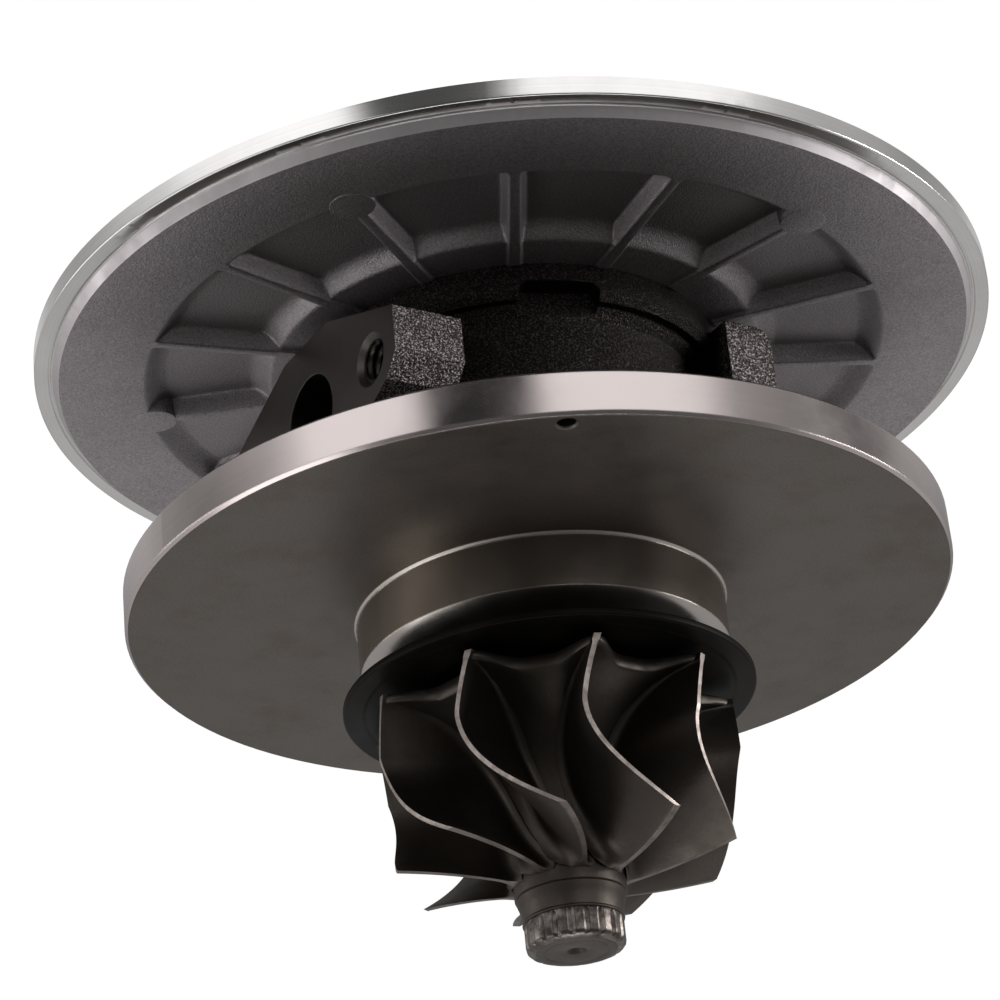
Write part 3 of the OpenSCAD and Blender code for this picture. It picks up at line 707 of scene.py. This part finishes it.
    def blade_skin(self, skin: Skin, number: int) -> None:
        """Adds a blade: at each height a radial section whose half width grows to a root fillet at the hub.

        Args:
            skin: mesh that takes it.
            number: which blade, from 0.
        """
        low = self.back_z + 0.04
        t = np.linspace(0, 1, 64)
        fall = np.sin(np.linspace(0, np.pi / 2, 18))
        z = np.concatenate([low + (self.outflow_z - low) * t[:-1] ** 1.15,
                            self.outflow_z + (self.blade_end - self.outflow_z) * fall])[:, None]
        v = np.linspace(0, 1, 24)[None, :] ** 1.6
        inner = np.minimum(self.hub(z), self.disc_r - 1.2) - 0.12
        r = inner + (self.tip(z) - inner) * v
        over = np.hypot(self.disc_r - np.minimum(r, self.disc_r), np.maximum(self.front_z + self.arc - z, 0))
        off_hub = np.maximum(np.where(r > self.disc_r, z - self.front_z, self.arc - over), 0)
        step = 0.25
        slant = np.radians(self.wrap(z + step) - self.wrap(z - step)) / (2 * step)
        thin = self.tip_t - self.thinned * np.clip((z - self.kink_z) / (self.outflow_z - self.kink_z), 0, 1)
        stretch = np.sqrt(1 + np.minimum(slant * r, self.lean_max) ** 2)
        middle = np.radians(self.turn + 360 / self.blades * number + self.wrap(z))
        past = np.clip(1 - (self.blade_end - z) / self.foot_round, 0, 1)
        fade = np.sqrt(1 - past ** 2)
        sides = []
        for side, foot in ((-1, 1.2), (1, 2.1)):
            fillet = np.interp(z, [self.front_z, 14.5, 17.0, 25.0, 31.0], [0.12, 0.5, 0.9, 1.0, foot])
            near = np.maximum(fillet - off_hub, 0)
            flare = fade * (fillet - np.sqrt(np.maximum(fillet ** 2 - near ** 2, 0)))
            half = side * (thin / 2 + self.root_swell * (1 - v) + flare) * stretch
            sides.append(polar(r, middle, z, half))
        skin.grid(sides[0])
        skin.grid(sides[1], flip=True)
        across = np.linspace(0, 1, 4)[None, :, None]
        crown = sides[0][:, -1:] * (1 - across) + sides[1][:, -1:] * across
        # the crown strip is ground up to the outflow; along the outflow edge it takes the painted highlight
        ground_or_highlight_mark = np.where(z[:-1, 0] < self.outflow_z - 1e-6, 1, 2)
        skin.grid(crown, ground_or_highlight_mark)
        skin.grid(np.stack([sides[0][-1], sides[1][-1]]))
        skin.grid(np.stack([sides[1][0], sides[0][0]]))

    def build(self) -> Piece:
        """Builds the wheel in place of its CAD node."""
        skin = Skin()
        self.hub_skin(skin)
        for number in range(self.blades):
            self.blade_skin(skin, number)
        piece = skin.make("turbine_wheel_cast", [
            finish.material() for finish in (WHEEL_CAST, WHEEL_GROUND, WHEEL_EDGE_HIGHLIGHT, WHEEL_NOSE)], crease=40)
        return place(piece, Body.ROTOR, Slot.NICKEL, "turbine_wheel")


@dataclass
class Backplate:
    """Die-cast backplate with ribs and pockets towards the housing and a turned rim."""

    rim_r: float = 56.5
    face_r: float = 53.7
    cast_z: float = -31.8
    joint_z: float = -32.2
    rim_top: float = -32.9
    rim_end: float = -35.2
    spigot_r: float = 49.0
    cone_w: float = 0.7
    diffuser_z: float = -39.8
    recess_z: float = -38.3
    recess_r: float = 25.2
    bore_r: float = 6.1
    hub_r: float = 29.0
    pocket_r: float = 43.7
    pocket_d: float = 2.1
    ribs: int = 15
    rib_w: float = 1.3
    rib_in: float = 24.5
    mark_r: float = 2.5
    cord_z: float = -37.5
    cord_r: float = 0.7
    joint_r: float = 13.27
    seat_r: float = 11.5
    seat_z: float = -29.43
    web_z: float = -34.6
    hub_slope: float = 1.05
    face_slope: float = 1.0
    rib_slope: float = 3.2
    hub_soft: float = 0.12
    face_soft: float = 0.1
    rib_soft: float = 0.08
    floor_fillet: float = 1.0
    rib_fillet: float = 0.9
    marks: int = 5

    def columns(self, r: Array) -> tuple[Array, Array]:
        """Angles of the columns: close together at the parallel sides of each rib, even between ribs.

        Args:
            r: radius of each row.

        Returns:
            Angles as rows, columns, and distance of each from the nearest rib's middle line.
        """
        pitch = 2 * np.pi / self.ribs
        near = np.array([
            0, 0.45, 0.55, 0.62, 0.7, 0.8, 0.92, 1.05, 1.2, 1.35, 1.5, 1.7, 2.0, 2.3, 2.6, 3.0])
        reach = np.clip(r, self.rib_in - 0.5, None)[:, None]
        side = np.arcsin(near[None, :] / reach)
        rest = side[:, -1:] + (pitch / 2 - side[:, -1:]) * np.array([[0.2, 0.4, 0.6, 0.8]])
        half = np.concatenate([side, rest], axis=1)
        one = np.concatenate([-half[:, :0:-1], half, np.full((len(r), 1), pitch / 2)], axis=1)
        start = pitch / 2 + pitch * np.arange(self.ribs)
        angles = (start[None, :, None] + one[:, None, :]).reshape(len(r), -1)
        away = np.abs(reach * np.sin(one))
        away = np.broadcast_to(away[:, None, :], (len(r), self.ribs, one.shape[1])).reshape(len(r), -1)
        return angles, away

    def height(self, r: Array, away: Array) -> Array:
        """Height of the housing side: hub and face slope down to the pocket floor, ribs stand on it.

        Args:
            r: radius of each point.
            away: distance from the nearest rib's middle line.

        Returns:
            Height of each point.
        """
        inner = self.joint_z - self.hub_slope * soft_step(r - self.hub_r, self.hub_soft)
        outer = self.cast_z - self.face_slope * soft_step(self.pocket_r - r, self.face_soft)
        floor = np.full_like(r, self.cast_z - self.pocket_d)
        base = soft_max(floor, np.maximum(inner, outer), self.floor_fillet)
        out = np.maximum(away - self.rib_w / 2, self.rib_in - r)
        rib = self.cast_z - self.rib_slope * soft_step(out, self.rib_soft)
        return np.minimum(soft_max(base, rib, self.rib_fillet), self.cast_z)

    def rim(self) -> Array:
        """Profile from the cast face over the cone, groove and rim to the compressor side and the bore."""
        r, z, groove = self.rim_r, self.rim_top, self.face_r + self.cone_w + 0.15
        low, high = self.cord_z - self.cord_r - 0.2, self.cord_z + self.cord_r + 0.2
        spigot, deep = self.spigot_r, self.spigot_r - 2 * self.cord_r - 0.05
        return rounded([
            (self.face_r, self.cast_z - 0.02, 0.02), (self.face_r + self.cone_w, z, 0.06), (groove, z, 0.04),
            (groove + 0.05, z - 0.35, 0.04), (groove + 0.3, z - 0.35, 0.04), (groove + 0.35, z, 0.04),
            (r, z, 0.22), (r, self.rim_end, 0.25), (spigot, self.rim_end, 0.05), (spigot, high, 0.06),
            (deep, high, 0.05), (deep, low, 0.05), (spigot, low, 0.06), (spigot, self.diffuser_z, 0.3),
            (self.recess_r, self.diffuser_z, 0.12), (self.recess_r, self.recess_z, 0.15),
            (self.bore_r, self.recess_z, 0.15), (self.bore_r, self.web_z, 0.1),
            (self.seat_r, self.web_z, 0.1), (self.seat_r, self.seat_z, 0.1),
            (self.joint_r, self.seat_z, 0.1), (self.joint_r, self.joint_z, 0)], 3)

    def build(self) -> Piece:
        """Builds the plate in place of its CAD node: cast side by height, the rest as a turned profile.

        Rows lie close together where the height bends, at the ribs' inner ends and at both pocket slopes.
        """
        r = np.concatenate([
            [self.joint_r, 17, 21, 23.9, 24.3, 24.4, 24.5, 24.6, 24.8, 26, 27.5, 28.4],
            np.arange(28.7, 31.5, 0.15), np.linspace(31.8, 41, 12), np.arange(41.2, 44.6, 0.13),
            [44.9, 45.6, 47, 49, 51, 52.6, 53.4, self.face_r - 0.02]])
        angles, away = self.columns(r)
        cast = polar(r[:, None], angles, self.height(np.broadcast_to(r[:, None], away.shape), away))
        profile = self.rim()
        xyz = np.concatenate([cast, turned(profile, self.columns(profile[:, 0])[0])])
        cone_rows = 6
        row = np.arange(len(xyz)) - len(r) + 1
        skin = Skin()
        skin.grid(xyz, np.where(row < 0, 0, np.where(row < cone_rows, 2, 1)), ring=True, loop=True)
        finishes = [finish.material() for finish in (CAST_FACE, TURNED_RIM, TURNED_CONE)]
        piece = skin.make("backplate_casting", finishes, crease=40)
        return place(piece, Body.HOUSING, Slot.PLATE, "backplate")

    def build_marks(self) -> Piece:
        """Builds the round ejector marks on every third rib: low discs with a fine edge, turned profiles."""
        floor = self.cast_z - self.pocket_d - 0.3
        top = self.cast_z + 0.04
        profile = rounded([
            (0, top, 0), (self.mark_r, top, 0.05), (self.mark_r + 0.12, self.cast_z - 0.3, 0.1),
            (self.mark_r + 0.3, floor, 0), (0, floor, 0)], 3)
        disc = turned(profile, full_turn(72))
        skin = Skin()
        for angle in 2 * np.pi / self.marks * (0.5 + np.arange(self.marks)):
            middle = (self.pocket_r - 0.4) * np.array([np.cos(angle), np.sin(angle), 0])
            skin.grid(disc + middle, ring=True)
        piece = skin.make("backplate_marks", [CAST_FACE.material()], crease=40)
        return place(piece, Body.HOUSING, Slot.PLATE)


@dataclass
class HeatShield:
    """Pressed sheet on the collar, with a rolled rim and a turned-down hole."""

    rim_r: float = 23.4
    hole_r: float = 8.45
    low_z: float = 10.3
    thick: float = 0.9
    lip: float = 1.2

    def build(self) -> Piece:
        """Builds the shield in place of its CAD node as a closed profile turned round the axis."""
        top = self.low_z + self.thick
        end = self.low_z - self.lip
        neck = self.hole_r + self.thick
        profile = rounded([
            (self.hole_r, end, 0.1), (neck, end, 0.1), (neck, self.low_z, 0.25),
            (self.rim_r, self.low_z, 0.2), (self.rim_r, top, 0.3), (self.rim_r - 2.2, top, 0.2),
            (self.rim_r - 2.5, top - 0.08, 0.2), (self.hole_r, top - 0.08, 0.7), (self.hole_r, end, 0)], 4)
        skin = Skin()
        skin.grid(turned(profile, full_turn(192)), ring=True, loop=True)
        piece = skin.make("heat_shield_sheet", [SHIELD_SHEET.material()], crease=50)
        return place(piece, Body.HOUSING, Slot.SHIELD, "heat_shield")


@dataclass
class CompressorWheel:
    """Cast compressor wheel with full blades and splitter blades, back up."""

    top_z: float = -38.7
    rim_r: float = 24.5
    in_r: float = 17.3
    length: float = 21.8
    rim_t: float = 0.8
    nose_r: float = 6.2
    out_w: float = 2.8
    bore_r: float = 2.53
    blades: int = 6
    thick: float = 0.5
    fillet: float = 0.9
    splitter_at: float = 32.0
    lean_max: float = 2.5
    root_swell: float = 0.15
    sunk_r: float = 0.5
    sunk_z: float = 0.3
    edge_gap: float = 0.2
    lead_gap: float = 1.2
    in_turn: float = 50.0
    out_turn: float = 28.0

    def quarter(self, a: Array, r: float, down: float) -> Array:
        """Line along the flow, from inflow (0) to outflow (90 degrees): a quarter of an ellipse.

        Args:
            a: flow parameter in radians.
            r: radius at the inflow.
            down: depth below the wheel's back at the outflow.

        Returns:
            Points as [..., r and z].
        """
        lead = self.length - self.lead_gap
        return np.stack([r + (self.rim_r - self.edge_gap - r) * (1 - np.cos(a)),
                         self.top_z - down - (lead - down) * (1 - np.sin(a))], axis=-1)

    def wrap(self, a: Array) -> Array:
        """Blade angle in degrees along the flow: powers of the sine and cosine of the flow parameter."""
        return self.in_turn * (1 - np.sin(a)) ** 1.4 - self.out_turn * (1 - np.cos(a)) ** 1.5

    def blade_skin(self, skin: Skin, turn: float, first: float) -> None:
        """Adds a blade: straight lines from hub to tip, turned by the wrap, thicker at the root fillet.

        Args:
            skin: mesh that takes it.
            turn: angle of the blade in degrees.
            first: flow parameter of its leading edge in degrees.
        """
        a = np.radians(np.linspace(first, 90, 40))
        v = np.linspace(0, 1, 12)[None, :, None] ** 1.5
        root = self.quarter(a, self.nose_r - self.sunk_r, self.rim_t) + np.array([0, self.sunk_z])
        tip = self.quarter(a, self.in_r, self.rim_t + self.out_w)
        line = root[:, None] * (1 - v) + tip[:, None] * v
        r, z = line[..., 0], line[..., 1]
        off_hub = np.linalg.norm(line - line[:, :1], axis=-1)
        near = np.maximum(self.fillet - np.maximum(off_hub - self.sunk_z, 0), 0)
        flare = self.fillet - np.sqrt(np.maximum(self.fillet ** 2 - near ** 2, 0))
        run = np.linalg.norm(np.gradient(line, axis=0), axis=-1)
        slant = np.gradient(np.radians(self.wrap(a)))[:, None] / np.maximum(run, 1e-6)
        nose = np.clip(np.linspace(0.25, 8, len(a)), 0, 1)[:, None]
        stretch = np.sqrt(1 + np.minimum(slant * r, self.lean_max) ** 2)
        half = (self.thick / 2 * nose + self.root_swell * (1 - v[..., 0]) + flare) * stretch
        middle = np.radians(turn + self.wrap(a))[:, None]
        sides = [polar(r, middle, z, side * half) for side in (-1, 1)]
        skin.grid(sides[0])
        skin.grid(sides[1], flip=True)
        skin.grid(np.stack([sides[0][:, -1], sides[1][:, -1]], axis=1))
        skin.grid(np.stack([sides[0][-1], sides[1][-1]]))
        skin.grid(np.stack([sides[1][0], sides[0][0]]))
        skin.grid(np.stack([sides[1][:, 0], sides[0][:, 0]], axis=1))

    def build(self) -> Piece:
        """Builds the wheel in place of its CAD node."""
        skin = Skin()
        arc = self.rim_r - self.nose_r
        low = self.top_z - self.rim_t - arc
        end = self.top_z - self.length
        bend = np.linspace(0, np.pi / 2, 40)[1:]
        curve = np.stack([self.rim_r - arc * np.sin(bend), low + arc * np.cos(bend)], axis=-1)
        ends = rounded([(self.nose_r, end + 1, 0.4), (self.nose_r - 1, end, 0.4), (self.bore_r, end, 0.15),
                        (self.bore_r, self.top_z, 0.15), (self.rim_r, self.top_z, 0.15),
                        (self.rim_r, self.top_z - self.rim_t, 0.05)], 3)
        skin.grid(turned(np.concatenate([curve, ends]), full_turn(192)), ring=True, loop=True)
        for turn in np.arange(self.blades) * 360 / self.blades:
            self.blade_skin(skin, turn, 0)
            self.blade_skin(skin, turn + 180 / self.blades, self.splitter_at)
        piece = skin.make("compressor_wheel_cast", [WHEEL_ALUMINIUM.material()], crease=40)
        return place(piece, Body.ROTOR, Slot.WHEEL, "compressor_wheel")


@dataclass
class Thread:
    """A cut thread: a tube whose radius follows a helical wave."""

    name: str
    start: Point
    axis: Point
    length: float
    crest_r: float
    root_r: float
    pitch: float
    inside: bool = True
    cuts: int = 10

    def build(self, body: Body, slot: Slot) -> Piece:
        """Builds the thread: radius goes from root to crest and back once a pitch, shifted with the angle.

        Args:
            body: body that carries it.
            slot: material slot of the record.

        Returns:
            The thread.
        """
        angles = full_turn(48)
        rows = int(self.length / self.pitch * self.cuts) + 1
        along = np.linspace(0, self.length, rows)[:, None]
        phase = (along / self.pitch + angles[None, :] / (2 * np.pi)) % 1
        saw = np.clip(1.25 - 2.5 * np.abs(phase - 0.5), 0, 1)
        wave = self.root_r + (self.crest_r - self.root_r) * saw
        back = np.full_like(wave[:1], self.root_r + (0.02 if self.inside else -0.3))
        radius = np.concatenate([back, wave, back])
        depth = np.concatenate([along[:1], along, along[-1:]])
        along_axis = Vector(self.axis).normalized()
        across = along_axis.orthogonal().normalized()
        turn = np.array([across, along_axis.cross(across), along_axis])
        skin = Skin()
        skin.grid(np.array(self.start) + polar(radius, angles, depth) @ turn, ring=True, loop=True)
        return place(skin.make(self.name, [THREAD_STEEL.material()], crease=30), body, slot)


@dataclass
class BoltedHardware:
    """CAD nodes as they are packed, which only take their finishes."""

    def dress(self) -> None:
        """Gives each CAD node its material."""
        coats = {
            HousingFinish(): ["bearing_housing"],
            GROUND_STEEL: ["rotor_shaft", "thrust_washer", "thrust_collar", "thrust_dowels"],
            SPRING_STEEL: ["turbine_seal_ring", "compressor_seal_ring", "turbine_outer_circlip",
                           "turbine_inner_circlip", "compressor_circlip"],
            BEARING_BRASS: ["turbine_bush", "compressor_bush", "thrust_bearing"],
            RubberFinish(): ["joint_seal_ring", "cover_seal_ring"],
            SCREW_STEEL: ["backplate_screws", "shaft_nut"],
            SHIELD_SHEET: ["heat_shield"], WHEEL_CAST: ["turbine_wheel"],
            WHEEL_ALUMINIUM: ["compressor_wheel"], CAST_FACE: ["backplate"]}
        for finish, names in coats.items():
            coat = finish.material()
            for name in names:
                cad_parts[name].material_slots[0].material = coat
                LOG.info("%s: %s", name, coat.name)


# studio


@dataclass
class Studio:
    """White floor and backdrop, soft lamps and the photograph's camera."""

    floor_z: float = -66.2
    eye: Point = (188.495, -290.258, 162.479)
    right: Point = (-0.86449049, -0.49432953, 0.0910742)
    up: Point = (0.15744188, -0.43836837, -0.88489843)
    back: Point = (0.47735547, -0.75064738, 0.45679346)
    lens: float = 120.392
    sensor: float = 36.0
    clip_start: float = 0.01
    floor_glow: float = 1.36
    panel_glow: float = 1.4
    far_sky: float = 0.42
    near_sky: float = 0.09
    ambient: float = 0.18
    panel_stops: tuple[Pair, ...] = (
        (-180, 0.36), (-167, 0.38), (-155, 0.25), (-142, 0.2), (-130, 0.27), (-117, 0.33), (-107, 0.4),
        (-99, 0.8), (-64, 0.82), (-58, 0.06), (-38, 0.05), (-33, 0.82), (-7, 0.82), (3, 0.48), (19, 0.31),
        (31, 0.26), (44, 0.34), (56, 0.45), (69, 0.42), (82, 0.34), (100, 0.32), (142, 0.3), (168, 0.3),
        (180, 0.36))
    box_way: Point = (0.72, 0.262, 0.643)
    box_glow: float = 1.5
    box_edge: Pair = (0.94, 0.975)
    horizon: Pair = (0.05, 0.25)
    sky_blend: float = 0.3
    floor_half: float = 6000.0
    floor_tone: str = "#f4f4f4"
    floor_bounce: str = "#565656"
    floor_rough: float = 0.9
    white_share: float = 0.7
    fade_r: Pair = (125.0, 150.0)
    fade_gamma: float = 1.5
    lamps: tuple[tuple[str, Point, Pair, float], ...] = (
        ("right_panel", (-262, -184, 2), (160, 110), 0.11),
        ("right_strip", (-262, -184, -52), (160, 24), 0.24),
        ("left_panel", (262, 184, 2), (160, 110), 0.1),
        ("overhead", (-60, 90, 620), (360, 360), 0.7))
    lamp_aim: Point = (0, 0, -15)

    def camera(self) -> None:
        """Sets the camera where the photograph was taken, rolled as it was."""
        data = bpy.data.cameras.new("photo_camera")
        data.sensor_width = self.sensor
        data.lens = self.lens
        data.clip_start = self.clip_start
        camera = bpy.data.objects.new("photo_camera", data)
        bpy.context.scene.collection.objects.link(camera)
        columns = [Vector(axis) for axis in (self.right, self.up, self.back)]
        turn = Matrix(columns).transposed().to_4x4()
        camera.matrix_world = Matrix.Translation(Vector(self.eye) * MM) @ turn
        bpy.context.scene.camera = camera

    def panels(self, tree: Tree, way: Socket) -> Socket:
        """Gives what metal mirrors low down, by its bearing: two white panels with a dark gap at the camera.

        Args:
            tree: node tree that takes the nodes.
            way: direction or place whose bearing counts.

        Returns:
            The brightness.
        """
        bearing = add(tree, "TexGradient", {"Vector": way}, "Fac", gradient_type="RADIAL")
        level = add(tree, "ValToRGB", {"Fac": bearing}, "Color")
        stops = level.node.color_ramp.elements
        for degrees, _ in self.panel_stops[1:-1]:
            stops.new(0.5 + degrees / 360)
        for stop, (degrees, grey) in zip(stops, self.panel_stops):
            stop.position = 0.5 + degrees / 360
            stop.color = (grey, grey, grey, 1)
        return level

    def floor(self) -> None:
        """Lays a pale floor: white to the camera with the part's shadow on it, panels in reflections."""
        material, tree, shader, spot = surface("floor_paint_white")
        path = add(tree, "LightPath").node.outputs
        paint = add(tree, "Mix", {
            0: path["Is Diffuse Ray"], 6: self.floor_tone, 7: self.floor_bounce}, 2, data_type="RGBA")
        feed(tree, shader, {"Base Color": paint, "Roughness": self.floor_rough})
        white = add(tree, "Emission", {"Color": (1, 1, 1, 1), "Strength": self.floor_glow})
        lit = add(tree, "Math", {0: path["Is Camera Ray"], 1: self.white_share}, operation="MULTIPLY")
        seen = add(tree, "MixShader", {0: lit, 1: shader.outputs[0], 2: white})
        near, far = self.fade_r
        gamma = add(tree, "MapRange", {
            "Value": off_axis(tree, spot), "From Min": near * MM, "From Max": far * MM,
            "To Min": 1.0, "To Max": self.fade_gamma})
        level = add(tree, "Gamma", {"Color": self.panels(tree, spot), "Gamma": gamma})
        mirrored = add(tree, "Emission", {"Color": level, "Strength": self.panel_glow})
        either = add(tree, "Math", {
            0: path["Is Glossy Ray"], 1: path["Is Transmission Ray"]}, operation="MAXIMUM")
        mix = add(tree, "MixShader", {0: either, 1: seen, 2: mirrored})
        feed(tree, tree.nodes["Material Output"], {"Surface": mix})
        skin = Skin()
        side = np.array([-self.floor_half, self.floor_half])
        x, y = np.meshgrid(side, side)
        skin.grid(np.stack([x, y, np.full_like(x, self.floor_z)], axis=-1))
        skin.make("floor", [material])

    def world(self) -> None:
        """Sets a studio: panels low down, grey overhead with one soft box, plain white to the camera."""
        world = bpy.data.worlds.new("studio")
        bpy.context.scene.world = world
        world.use_nodes = True
        tree = world.node_tree
        way = add(tree, "TexCoord", out="Generated")
        rise = add(tree, "SeparateXYZ", {0: way}, "Z")
        ahead = Vector((self.back[0], self.back[1], 0)).normalized()
        side, near_box = (
            add(tree, "VectorMath", {0: way, 1: towards}, "Value", operation="DOT_PRODUCT")
            for towards in (ahead, self.box_way))
        high, overhead, box = (
            add(tree, "MapRange", {
                "Value": value, "From Min": low, "From Max": top, "To Min": start, "To Max": end},
                interpolation_type="SMOOTHSTEP")
            for value, (low, top), start, end in (
                (rise, self.horizon, 0.0, 1.0),
                (side, (-self.sky_blend, self.sky_blend), self.far_sky, self.near_sky),
                (near_box, self.box_edge, 0.0, self.box_glow)))
        around = add(tree, "Mix", {0: high, 6: self.panels(tree, way), 7: overhead}, 2, data_type="RGBA")
        lit = add(tree, "VectorMath", {0: around, 1: box}, operation="ADD")
        path = add(tree, "LightPath").node.outputs
        tone = add(tree, "Mix", {0: path["Is Camera Ray"], 6: lit, 7: (1, 1, 1, 1)}, 2, data_type="RGBA")
        level = add(tree, "MapRange", {
            "Value": path["Is Diffuse Ray"], "To Min": 1.0, "To Max": self.ambient})
        feed(tree, tree.nodes["Background"], {"Color": tone, "Strength": level})

    def lamp(self, name: str, where: Point, size: Pair, watts: float) -> None:
        """Hangs a rectangular lamp that faces the middle of the part.

        Args:
            name: name of the lamp.
            where: its place in millimetres.
            size: its width and height in millimetres.
            watts: its power.
        """
        data = bpy.data.lights.new(name, "AREA")
        data.shape = "RECTANGLE"
        data.size = size[0] * MM
        data.size_y = size[1] * MM
        data.energy = watts
        lamp = bpy.data.objects.new(name, data)
        lamp.location = Vector(where) * MM
        aim = Vector(self.lamp_aim) * MM - lamp.location
        lamp.rotation_euler = aim.to_track_quat("-Z", "Y").to_euler()
        bpy.context.scene.collection.objects.link(lamp)

    def build(self) -> None:
        """Puts the studio together."""
        bpy.context.scene.view_settings.view_transform = "Standard"
        self.camera()
        self.floor()
        self.world()
        for lamp in self.lamps:
            self.lamp(*lamp)


def main() -> None:
    """Builds the studio and each sub-assembly in order and reports the pieces."""
    logging.basicConfig(level=logging.INFO, format="%(name)s %(message)s")
    Studio().build()
    BoltedHardware().dress()
    plate = Backplate()
    plate.build()
    plate.build_marks()
    HeatShield().build()
    TurbineWheel().build()
    CompressorWheel().build()
    for letter, y in (("a", -14.4), ("b", 14.4)):
        Thread(f"drain_thread_{letter}", start=(27.35, y, -20.1), axis=(-1, 0, 0), length=7.0,
               crest_r=2.12, root_r=2.49, pitch=1.0).build(Body.HOUSING, Slot.IRON)
    Thread("inlet_thread", start=(-21.6, 0, -20.1), axis=(1, 0, 0), length=8.0,
           crest_r=4.05, root_r=4.49, pitch=1.25).build(Body.HOUSING, Slot.IRON)
    Thread("stub_thread", start=(0, 0, -64.55), axis=(0, 0, -1), length=1.3,
           crest_r=2.58, root_r=2.4, pitch=0.8, inside=False).build(Body.ROTOR, Slot.GROUND)


if __name__ == "__main__":
    main()
